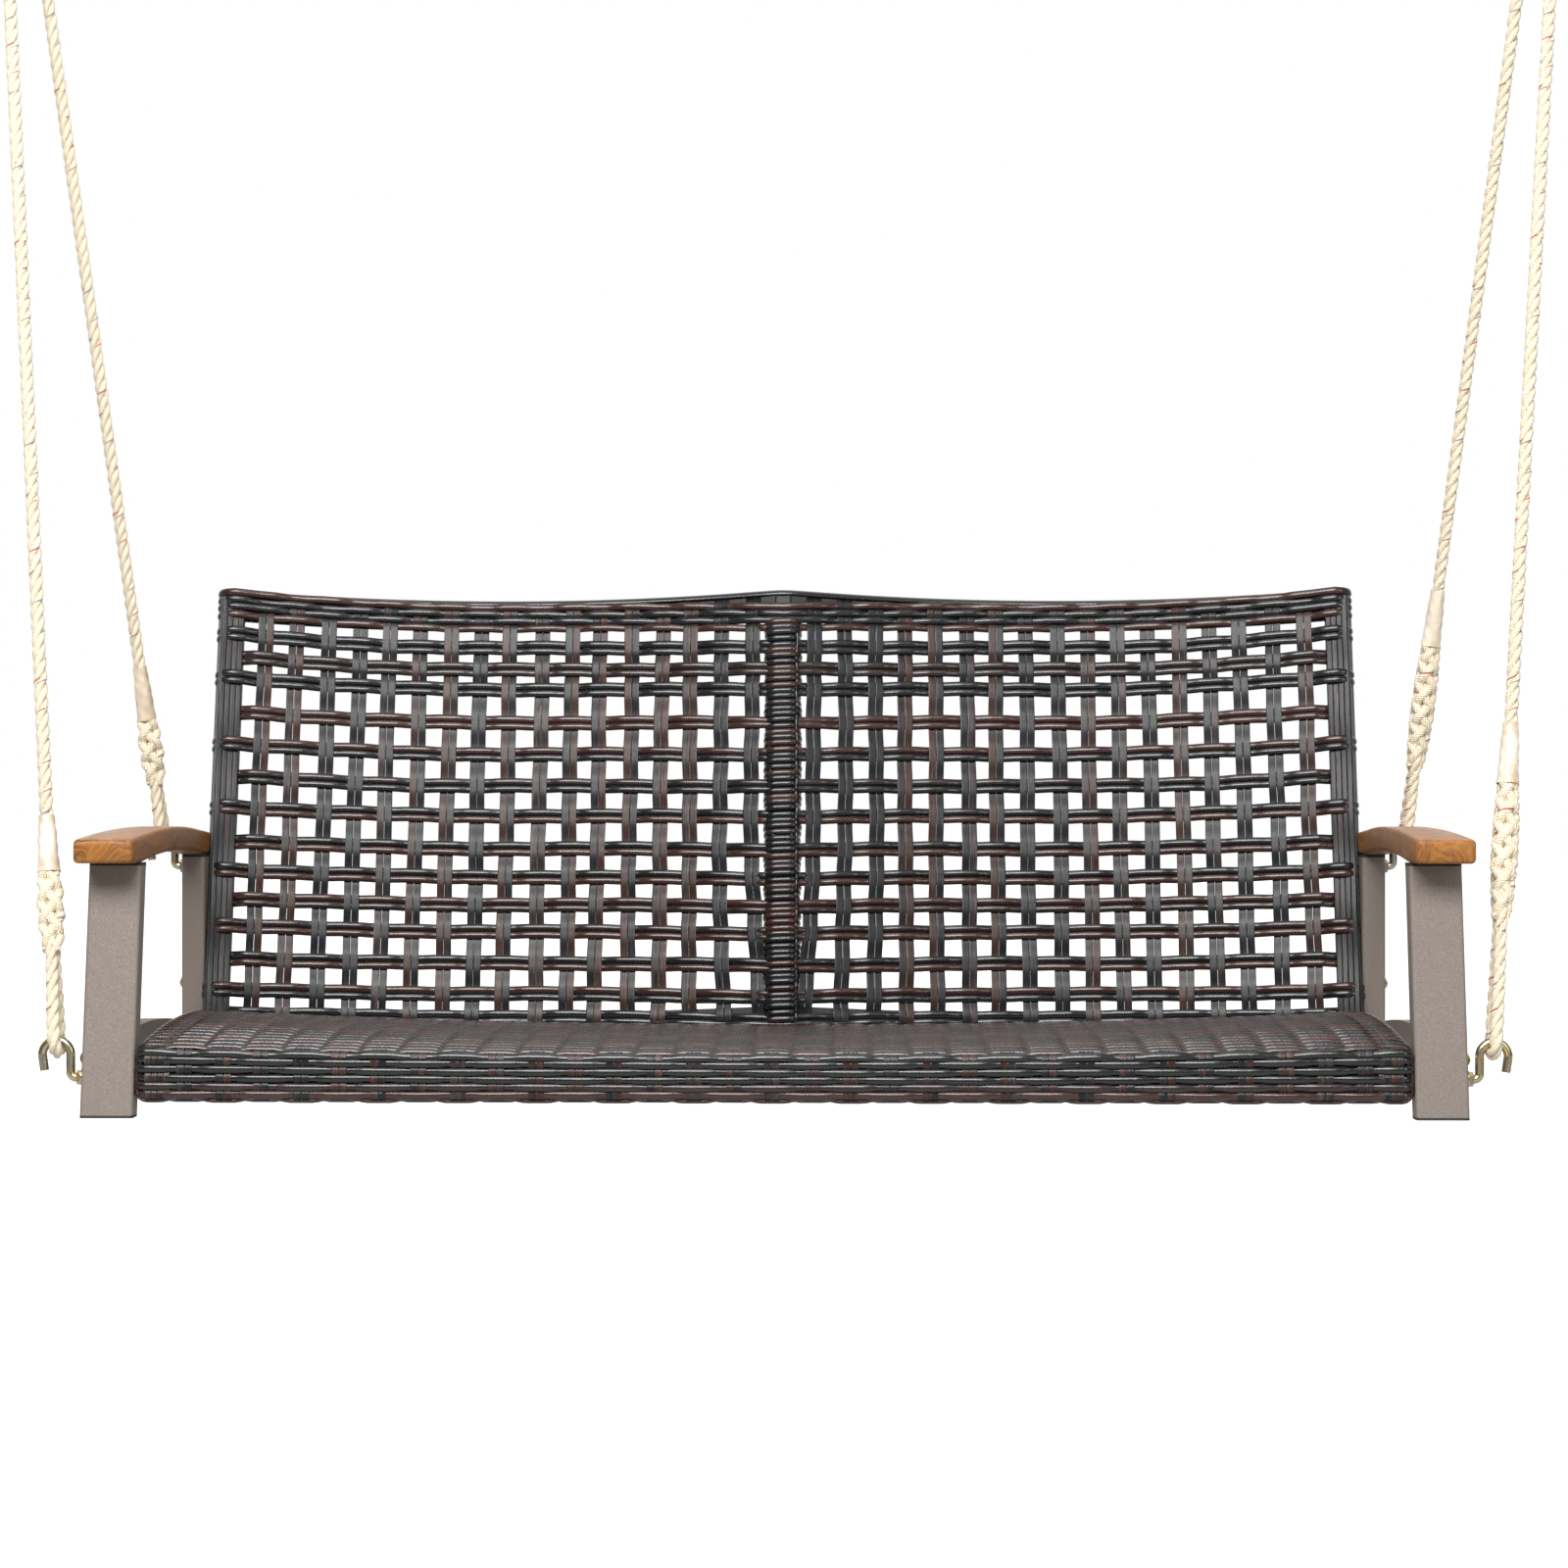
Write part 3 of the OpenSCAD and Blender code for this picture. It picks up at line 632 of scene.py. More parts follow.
@dataclass
class WovenBack:
    """The open-weave back: two hollows side by side, with a bound spine between them."""

    finishes: Finishes
    rng: np.random.Generator
    foot_y: float = 472.0
    foot_h: float = 60.0
    height: float = 482.0
    recline: float = math.radians(13)
    half: float = 309.0
    hollow: float = 48.0
    strips: int = 17
    first_strip: float = 35.0
    last_strip: float = 574.0
    strip_w: float = 8.2
    strand_w: float = 8.3
    pair: float = 4.15
    band_pitch: float = 8.3
    wind_pitch: float = 6.6

    def __post_init__(self) -> None:
        """Works out the hollow's radius and where the rows and strips run."""
        self.radius = (self.half**2 + self.hollow**2) / (2 * self.hollow)
        near = np.linspace(self.first_strip, self.last_strip, self.strips)
        self.columns = near + self.rng.uniform(-1.4, 1.4, self.strips)
        gaps = [53, 25, 23, 38, 36, 36, 34, 37, 32, 31, 30, 35, 34, 26]
        self.rows = self.height - np.cumsum(gaps)

    def depth(self, u: np.ndarray) -> np.ndarray:
        """How far back the surface lies at a distance u from the middle.

        Args:
            u: across from the middle.

        Returns:
            Millimetres behind the plane of the edges.
        """
        eased_u = np.sqrt(np.asarray(u, float) ** 2 + 15**2)
        inside = self.radius**2 - (eased_u - self.half) ** 2
        return self.hollow - self.radius + np.sqrt(inside)

    def normal(self, u: np.ndarray) -> np.ndarray:
        """The direction out of the front face.

        Args:
            u: across from the middle.

        Returns:
            Directions at length one.
        """
        u = np.asarray(u, float)
        slope = (self.depth(u + 0.5) - self.depth(u - 0.5)) / 1.0
        forward = np.full_like(slope, -math.cos(self.recline))
        upward = np.full_like(slope, math.sin(self.recline))
        return unit(np.stack([slope, forward, upward], axis=-1))

    def point(self, u, v, out) -> np.ndarray:
        """World place of a point.

        Args:
            u: across from the middle.
            v: up the slope.
            out: towards the sitter from the front face.

        Returns:
            Points in metres.
        """
        u, v, out = np.broadcast_arrays(np.asarray(u, float), np.asarray(v, float), out)
        deep = self.depth(u)
        cos, sin = math.cos(self.recline), math.sin(self.recline)
        flat = world(u, self.foot_y + deep * cos + v * sin, self.foot_h + v * cos - deep * sin)
        return flat + self.normal(u) * out[..., None] * MM

    def drop(self, u: np.ndarray, row: float) -> np.ndarray:
        """How far a row strays from its level at the middle of a half, by distance from the spine.

        Args:
            u: across from the middle.
            row: the row's level.

        Returns:
            Millimetres upwards.
        """
        u = np.abs(u)
        end = 6.0 - 10.0 * (self.height - row) / self.height
        inner = -11.5 * np.clip((self.half - u) / self.half, 0, 1) ** 2
        outer = end * np.clip((u - self.half) / self.half, 0, 1) ** 2
        return inner + outer

    def lean(self, v: np.ndarray, column: int) -> np.ndarray:
        """How far the strip next to the spine is pressed towards it, lower down."""
        pressed = {0: 11.0, 1: 6.0, 2: 3.0}.get(column, 0.0)
        return -pressed * np.clip((200 - np.asarray(v, float)) / 200, 0, 1) ** 1.3

    def wrapped_row(self, row: float, over: float, shift: float, parity: int, around: bool) -> tuple:
        """One strand from one edge to the other.

        Args:
            row: its level at the middle of a half.
            over: how far it stands out where it passes over a strip.
            shift: how far it runs above that level.
            parity: 1 or 0, whether it passes over the strips with odd or even numbers.
            around: whether its ends wrap round the edge tubes.

        Returns:
            Its points and the directions out of them.
        """
        number = np.arange(self.strips, 0, -1)
        levels = np.where((number + parity) % 2 == 1, over, -1.9)
        knots = np.concatenate([-self.columns[::-1], [-20, 20], self.columns])
        values = np.concatenate([levels[::-1], [0.4, 0.4], levels])
        ends = 1.6 if around else -7.0
        knots = np.concatenate([[-606], knots, [606]])
        values = np.concatenate([[ends], values, [ends]])
        reach = 609.0 if around else 604.0
        u = np.arange(-reach, reach + 1, 4.2)
        out = eased(u, knots, values)
        pinch = 1 - (0.45 if row == self.rows[3] else 0.12) * np.exp(-((u / 60) ** 2))
        v = row + self.drop(u, row) + shift * pinch + 0.5 * np.sin(u / 47 + row)
        path, outward = self.point(u, v, out), self.normal(u)
        if not around:
            return path, outward
        turn = np.linspace(0, math.pi, 10)[1:]
        pieces, ways = [path], [outward]
        for side in (-1, 1):
            at = np.full(len(turn), side * 609.0)
            up = np.array([0.0, math.sin(self.recline), math.cos(self.recline)])
            sideways = unit(np.cross(self.normal(at), up))
            sideways = sideways * np.sign(sideways[:, :1]) * side
            reach_out = np.sin(turn)[:, None] * sideways + np.cos(turn)[:, None] * self.normal(at)
            centre = self.point(at, v[0 if side < 0 else -1], -13.5)
            bend = centre + reach_out * 13.4 * MM
            tail = bend[-1] - sideways[-1] * 12 * MM
            bend, reach_out = np.vstack([bend, tail]), np.vstack([reach_out, reach_out[-1]])
            if side < 0:
                pieces.insert(0, bend[::-1])
                ways.insert(0, reach_out[::-1])
            else:
                pieces.append(bend)
                ways.append(reach_out)
        return np.vstack(pieces), np.vstack(ways)

    def row_strands(self) -> None:
        """The tight band along the top and the thirteen pairs below it."""
        mats = [self.finishes.get(f, "strand") for f in (CHARCOAL, BROWN, DUSK)]
        bundle = Bundle("back_rows", mats)
        section = half_round(self.strand_w, 3.9) * MM
        for k, tone in enumerate((1, 0, 0, 1)):
            path, way = self.wrapped_row(self.height - 5.5 - k * self.band_pitch, 1.1, 0, k % 2, True)
            bundle.sweep(path, way, section, tone)
        tones = [(0, 0), (2, 2), (0, 0), (1, 1), (1, 0), (2, 0), (0, 1)]
        tones += [(0, 1), (0, 1), (1, 2), (2, 1), (0, 1), (1, 0), (0, 0)]
        for k, row in enumerate(self.rows):
            for part, shift in enumerate((self.pair, -self.pair)):
                path, way = self.wrapped_row(row, 1.1, shift, (k + 1) % 2, k % 2 == 0)
                bundle.sweep(path, way, section, tones[k][part])
        self.top_strands(bundle, section)
        bundle.build(SWING, ("back_weave_left", "back_weave_right"))

    def top_strands(self, bundle: Bundle, section: np.ndarray) -> None:
        """The strands that lie over the top tube and down behind it.

        Args:
            bundle: the piece that they join.
            section: their section in metres.
        """
        u = np.arange(-616, 617, 7.0)
        up = np.array([0.0, math.sin(self.recline), math.cos(self.recline)])
        for v, out, turn in ((481, -3.5, 50), (483.5, -9.5, 80), (483.5, -16, 100), (480.5, -22, 130)):
            way = self.normal(u) * math.cos(math.radians(turn)) + up * math.sin(math.radians(turn))
            bundle.sweep(self.point(u, v, out), way, section, 0 if turn != 80 else 2)
        for k in range(3):
            bundle.sweep(self.point(u, 476 - k * self.band_pitch, -27.0), -self.normal(u), section, k % 3)

    def strip_strands(self) -> None:
        """The ribbed pairs that run up the back and over its top tube."""
        mats = [self.finishes.get(f, "strand") for f in (STRIP_CHARCOAL, STRIP_BROWN, STRIP_DUSK)]
        bundle = Bundle("back_strips", mats)
        section = ribbed(self.strip_w, 1.7) * MM
        single = self.height - 5.5 - np.arange(4) * self.band_pitch
        for side in (-1, 1):
            for column, place in enumerate(self.columns):
                number = self.strips - column
                levels = np.concatenate([single, self.rows])
                rank = np.concatenate([np.arange(4), np.arange(1, len(self.rows) + 1)])
                over = (rank + number) % 2 == 0
                values = np.where(over, 1.7, -1.7)
                values[:4] = np.where((np.arange(4) + number) % 2 == 0, 1.3, -2.6)
                drops = np.array([self.drop(np.array([place]), level)[0] for level in levels])
                knots = (levels + drops)[::-1]
                v = np.arange(3, self.height - 14, 3.6)
                knots = np.concatenate([[0.0], knots, [self.height + 3]])
                values = np.concatenate([[-1.0], values[::-1], [1.6]])
                out = eased(v, knots, values, 0.18)
                for part in (-1, 1):
                    u = side * (place + self.lean(v, column) + part * (self.strip_w / 2 + 0.1))
                    u = u + 0.6 * np.sin(v / 55 + column * 2)
                    path, way = self.point(u, v, out), self.normal(u)
                    path, way = self.over_top(path, way, u[-1])
                    tone = self.rng.choice(3, p=(0.42, 0.28, 0.30)) if column > 1 else 0
                    bundle.sweep(path, way, section, int(tone))
        bundle.build(SWING)

    def over_top(self, path: np.ndarray, way: np.ndarray, u: float) -> tuple:
        """Carries a strip over the top tube and down its back.

        Args:
            path: the strip's points so far.
            way: the directions out of them.
            u: where the strip meets the top, across from the middle.

        Returns:
            The longer points and directions.
        """
        turn = np.linspace(0, math.pi, 9)[1:]
        up = np.array([0.0, math.sin(self.recline), math.cos(self.recline)])
        normal = self.normal(np.array([u]))[0]
        outward = np.cos(turn)[:, None] * normal + np.sin(turn)[:, None] * up
        centre = self.point(u, self.height - 14.5, -13.0)
        arc = centre + outward * 13.6 * MM
        tail = arc[-1] - up * np.array([[5], [10]]) * MM
        return np.vstack([path, arc, tail]), np.vstack([way, outward, np.repeat(outward[-1:], 2, 0)])

    def edge_bands(self) -> None:
        """Ribbed strands that cover the side tubes on the front, outside and back."""
        mats = [self.finishes.get(f, "strand") for f in (STRIP_CHARCOAL, STRIP_DUSK)]
        bundle = Bundle("back_edge_bands", mats)
        section = ribbed(5.5, 1.8, 2) * MM
        v = np.arange(2, self.height - 2, 6.0)
        for side in (-1, 1):
            for k in range(4):
                u = np.full(len(v), side * (600.5 + 5.7 * k))
                wave = -0.9 + 1.1 * np.sin(v / 17 + k * 0.2)
                bundle.sweep(self.point(u, v, wave), self.normal(u), section, int(k == 1))
                bundle.sweep(self.point(u, v, -27.0), -self.normal(u), section, int(k == 2))
                rim = np.full(len(v), side * 617.5)
                sideways = np.array([float(side), 0.0, 0.0])
                path = self.point(rim, v, -4.5 - 6.0 * k) + sideways * 3.5 * MM
                bundle.sweep(path, np.broadcast_to(sideways, path.shape), section, int(k == 3))
        bundle.build(SWING)

    def spine_winding(self) -> None:
        """Strands wound round the middle tube and the rows that cross it."""
        mats = [self.finishes.get(f, "strand") for f in (CHARCOAL, BROWN, DUSK)]
        bundle = Bundle("back_spine_winding", mats)
        turn = np.linspace(0, 2 * math.pi, 33)
        up = np.array([0.0, math.sin(self.recline), math.cos(self.recline)])
        straight = self.normal(np.array([0.0]))[0]
        across = np.array([1.0, 0.0, 0.0])
        upper = self.height - 4 * self.band_pitch + 2
        count = round(upper / self.wind_pitch)
        for k in range(count):
            level = upper * (k + 0.5) / count
            near = min(abs(level - row) for row in self.rows)
            wide = 18.2 + 0.7 * math.sin(level * 1.7)
            tilt = 1.2 * np.cos(turn) + 0.7 * math.sin(level * 3.1)
            x = np.sign(np.cos(turn)) * np.abs(np.cos(turn)) ** 0.55 * wide
            z = np.sign(np.sin(turn)) * np.abs(np.sin(turn)) ** 0.7 * (15.6 + (2.6 if near < 7 else 1.4))
            centre = self.point(0.0, level, -12.4)
            path = centre + (x[:, None] * across + z[:, None] * straight + tilt[:, None] * up) * MM
            way = unit(np.cos(turn)[:, None] * across / 1.3 + np.sin(turn)[:, None] * straight)
            tone = int(self.rng.choice(3, p=(0.5, 0.28, 0.22)))
            section = half_round(upper / count + 0.3, 3.4) * MM
            bundle.sweep(path[:-1], way[:-1], section, tone, closed=True)
        v = np.arange(4, self.height - 34, 5.0)
        seam = self.point(14.5 + 0.5 * np.sin(v / 6), v, 3.8 + 0.5 * np.sin(v / 2.6))
        bundle.sweep(seam, np.broadcast_to(straight, seam.shape), half_round(3.4, 2.6) * MM, 0)
        bundle.build(SWING)

    def build(self) -> None:
        """Every piece of the back."""
        self.row_strands()
        self.strip_strands()
        self.edge_bands()
        self.spine_winding()


# ---- woven seat ----


@dataclass
class WovenSeat:
    """The tight weave that covers the seat's top, its front apron and its rear edge."""

    finishes: Finishes
    rng: np.random.Generator
    half: float = 598.0
    pitch: float = 8.3
    first_strip: float = 553.0
    strips: int = 31
    strip_w: float = 6.9
    crest_y: float = 215.0
    crest_h: float = 83.0
    front_h: float = 65.5
    front_y: float = 4.0
    rear_y: float = 463.0
    apron_low: float = 17.0
    front_sag: float = 6.0
    crest_sag: float = 16.0

    def __post_init__(self) -> None:
        """Traces the side profile that every strip follows."""
        rise = self.crest_h - self.front_h
        run = self.crest_y - self.front_y
        self.radius = (run**2 + rise**2) / (2 * rise)
        corner = np.linspace(0, math.pi / 2, 7)[1:]
        y = [22.0, 15.0, 9.0]
        h = [self.apron_low] * 3
        y += [9 - 5 * math.sin(a) for a in corner]
        h += [self.apron_low + 5 - 5 * math.cos(a) for a in corner]
        top = np.arange(self.front_y + 7, self.rear_y - 7, 6.0)
        top_h = self.top(top)
        y += [self.front_y] * 5 + [self.front_y + 7 - 7 * math.cos(a) for a in corner] + list(top)
        h += list(np.linspace(self.apron_low + 12, top_h[0] - 7, 5))
        h += [top_h[0] - 7 + 7 * math.sin(a) for a in corner] + list(top_h)
        end = top_h[-1]
        y += [self.rear_y - 8 + 8 * math.sin(a) for a in corner]
        y += [self.rear_y, self.rear_y, self.rear_y - 8, self.rear_y - 20]
        h += [end - 8 + 8 * math.cos(a) for a in corner] + [end - 14, end - 20, end - 26, end - 27]
        line = np.stack([y, h], 1)
        keep = np.concatenate([[True], np.linalg.norm(np.diff(line, axis=0), axis=1) > 0.4])
        self.line = line[keep]
        self.s = np.concatenate([[0], np.cumsum(np.linalg.norm(np.diff(self.line, axis=0), axis=1))])
        self.rows = np.arange(20.5 - 2 * self.pitch, self.s[-1] - 4, self.pitch)

    def top(self, y: np.ndarray) -> np.ndarray:
        """Height of the seat's arched top at y."""
        return self.crest_h - self.radius + np.sqrt(self.radius**2 - (y - self.crest_y) ** 2)

    def profile(self, s: np.ndarray) -> tuple:
        """Place and outward direction on the side profile at a length s along it.

        Args:
            s: length along the profile.

        Returns:
            y, h, and the outward direction's y and h.
        """
        y = np.interp(s, self.s, self.line[:, 0])
        h = np.interp(s, self.s, self.line[:, 1])
        dy = np.interp(s + 1.5, self.s, self.line[:, 0]) - np.interp(s - 1.5, self.s, self.line[:, 0])
        dh = np.interp(s + 1.5, self.s, self.line[:, 1]) - np.interp(s - 1.5, self.s, self.line[:, 1])
        size = np.maximum(np.hypot(dy, dh), 1e-9)
        return y, h, -dh / size, dy / size

    def sag(self, x: np.ndarray, y: np.ndarray, h: np.ndarray) -> np.ndarray:
        """How far the weave hangs below the side tubes.

        Args:
            x: across from the middle.
            y: back from the front feet.
            h: height of the unsagged top.

        Returns:
            Millimetres downwards.
        """
        share = 1 - np.clip(np.abs(x) / self.half, 0, 1) ** 2.2
        bowl = np.sin(math.pi * np.clip((y - self.front_y) / (self.rear_y - self.front_y), 0, 1)) ** 0.8
        depth = self.front_sag + (self.crest_sag - self.front_sag) * bowl
        return share * depth * np.clip((h - 22) / 40, 0, 1)

    def point(self, x, s, out) -> tuple:
        """World places and outward directions at x across and s along the profile."""
        x, s, out = np.broadcast_arrays(np.asarray(x, float), np.asarray(s, float), out)
        y, h, ny, nh = self.profile(s)
        spot = world(x, y + ny * out, h + nh * out - self.sag(x, y, h))
        return spot, np.stack([np.zeros_like(ny), ny, nh], axis=-1)

    def columns(self) -> np.ndarray:
        """The middle of each ribbed pair."""
        even = np.linspace(-self.first_strip, self.first_strip, self.strips)
        return even + self.rng.uniform(-1.2, 1.2, self.strips)

    def build(self) -> None:
        """The strands across the seat and the ribbed pairs that bind them."""
        columns = self.columns()
        self.row_strands(columns)
        self.strip_strands(columns)

    def row_strands(self, columns: np.ndarray) -> None:
        """The strands from side to side, which roll down over the side tubes.

        Args:
            columns: the middle of each ribbed pair.
        """
        mats = [self.finishes.get(f, "strand") for f in (CHARCOAL, BROWN, DUSK)]
        bundle = Bundle("seat_rows", mats)
        section = half_round(7.9, 3.7) * MM
        knots = np.concatenate([[-586], columns, [586]])
        for k, s in enumerate(self.rows):
            over = (np.arange(self.strips) + k) % 2 == 0
            ends = [0.4 if k % 2 else -2.0]
            values = np.concatenate([ends, np.where(over, 0.6, -2.0), ends])
            x = np.concatenate([np.arange(-588, 588, 5.2), [588]])
            wander = 0.4 * np.sin(x / 61 + k * 1.9)
            path, way = self.point(x, s + wander, eased(x, knots, values, 0.28))
            turn = np.linspace(0, math.pi / 2, 5)[1:]
            reach, fall = 9.0, np.array([0.0, 9.0, 18.0])
            for side, end in ((-1, 0), (1, -1)):
                normal = way[end]
                outward = np.sin(turn)[:, None] * np.array([side, 0, 0]) + np.cos(turn)[:, None] * normal
                arc = path[end] - normal * reach * MM + outward * reach * MM
                down = arc[-1] - normal * (fall[1:, None] * MM)
                arc = np.vstack([arc, down])
                outward = np.vstack([outward, np.repeat(outward[-1:], len(down), 0)])
                path = np.vstack([arc[::-1], path]) if side < 0 else np.vstack([path, arc])
                way = np.vstack([outward[::-1], way]) if side < 0 else np.vstack([way, outward])
            tone = (0, 1, 1, 2, 0, 0, 0, 0, 1)[k] if k < 9 else int(self.rng.choice(3, p=(0.3, 0.35, 0.35)))
            bundle.sweep(path, way, section, tone)
        bundle.build(SWING, ("seat_weave", "seat_apron"))

    def strip_strands(self, columns: np.ndarray) -> None:
        """The ribbed pairs, and a broader band of four at each end.

        Args:
            columns: the middle of each ribbed pair.
        """
        mats = [self.finishes.get(f, "strand") for f in (STRIP_CHARCOAL, STRIP_BROWN, STRIP_DUSK)]
        bundle = Bundle("seat_strips", mats)
        s = np.arange(1, self.s[-1] - 1, self.pitch / 3)
        ranks = np.arange(len(self.rows))
        knots = np.concatenate([[0], self.rows, [self.s[-1]]])
        for j, place in enumerate(columns):
            over = (j + ranks) % 2 == 1
            values = np.concatenate([[-1.5], np.where(over, 1.0, -2.3), [-1.5]])
            out = eased(s, knots, values, 0.3)
            for part in (-1, 1):
                x = place + part * (self.strip_w / 2 + 0.35) + 0.4 * np.sin(s / 38 + j)
                path, way = self.point(x, s, out)
                tone = int(self.rng.choice(3, p=(0.34, 0.44, 0.22)))
                bundle.sweep(path, way, ribbed(self.strip_w, 1.5, 2) * MM, tone)
        for side in (-1, 1):
            values = np.concatenate([[-1.5], np.where(ranks % 2 == 0, 1.2, -2.3), [-1.5]])
            out = eased(s, knots, values, 0.3)
            for k in range(4):
                path, way = self.point(np.full(len(s), side * (568.5 + 5.9 * k)), s, out)
                bundle.sweep(path, way, ribbed(5.7, 1.5, 2) * MM, (1, 0, 1, 2)[k])
        bundle.build(SWING)


# ---- armrests ----


@dataclass
class Armrest:
    """A bent acacia board with eased edges."""

    finishes: Finishes
    side: int
    front: float = -5.0
    rear: float = 550.0
    outer: float = 655.0
    width: float = 56.0
    inner_rear: float = 625.0
    low: float = 239.0
    end_top: float = 261.3
    crest_top: float = 271.0
    arch: float = 7.5
    round_over: float = 4.2

    def ring(self, y: float, inset: float) -> np.ndarray:
        """The board's outline at one place along it.

        Args:
            y: how far back.
            inset: how much the outline shrinks, near the eased ends.

        Returns:
            Its corner points, in metres.
        """
        middle = (self.front + self.rear) / 2
        far = (y - middle) / (self.rear - middle)
        top = self.crest_top - (self.crest_top - self.end_top) * far**2 - inset
        low = self.low + max(0.0, self.arch * (1 - (far * 1.28) ** 2)) + inset
        share = np.clip((y - 25) / 445, 0, 1)
        inner = self.outer - self.width + (self.inner_rear - self.outer + self.width) * share**1.15 + inset
        outer = self.outer - inset
        r = self.round_over
        points = []
        corners = (
            (outer - r, top - r, 0),
            (inner + r, top - r, 90),
            (inner + r, low + r, 180),
            (outer - r, low + r, 270),
        )
        for cx, cz, start in corners:
            for a in np.radians(np.linspace(start, start + 90, 6)):
                points.append((self.side * (cx + r * math.cos(a)), y, cz + r * math.sin(a)))
        points = np.array(points)
        return world(points[:, 0], points[:, 1], points[:, 2])

    def build(self) -> None:
        """Skins the outlines from front to rear."""
        ease = [(0, 3.4), (0.5, 2.2), (1.6, 1.0), (3.2, 0.2)]
        stations = [(self.front + a, b) for a, b in ease]
        stations += [(y, 0.0) for y in np.linspace(self.front + 6, self.rear - 6, 44)]
        stations += [(self.rear - a, b) for a, b in reversed(ease)]
        rings = np.array([self.ring(y, inset) for y, inset in stations])
        n, m = rings.shape[:2]
        faces = []
        for i in range(n - 1):
            for k in range(m):
                a, b = i * m + k, i * m + (k + 1) % m
                quad = (a, b, b + m, a + m)
                faces.append(quad[::-1] if self.side > 0 else quad)
        caps = [list(range(m)), [(n - 1) * m + k for k in range(m)]]
        faces.append(caps[0] if self.side > 0 else caps[0][::-1])
        faces.append(caps[1][::-1] if self.side > 0 else caps[1])
        name = "arm_board_" + ("right" if self.side > 0 else "left")
        mesh = bpy.data.meshes.new(name)
        mesh.from_pydata(rings.reshape(-1, 3).tolist(), [], faces)
        mesh.materials.append(self.finishes.get(WOOD, "wood"))
        mesh.shade_smooth()
        mesh.set_sharp_from_angle(angle=math.radians(40))
        piece = bpy.data.objects.new(name, mesh)
        bpy.context.scene.collection.objects.link(piece)
        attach(piece, SWING)
        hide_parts("armrest_" + ("right" if self.side > 0 else "left"))


# ---- ropes ----


@dataclass(frozen=True)
class RopePlan:
    """Where one rope runs and how its lower splice is made."""

    side: int
    rear: bool
    leg: float
    splice: float
    sleeve: float

    @property
    def tag(self) -> str:
        """front_left, and so on."""
        return ("rear_" if self.rear else "front_") + ("right" if self.side > 0 else "left")


PLANS = (
    RopePlan(-1, False, 90, 74, 55),
    RopePlan(1, False, 122, 128, 60),
    RopePlan(-1, True, 60, 68, 58),
    RopePlan(1, True, 78, 130, 60),
)


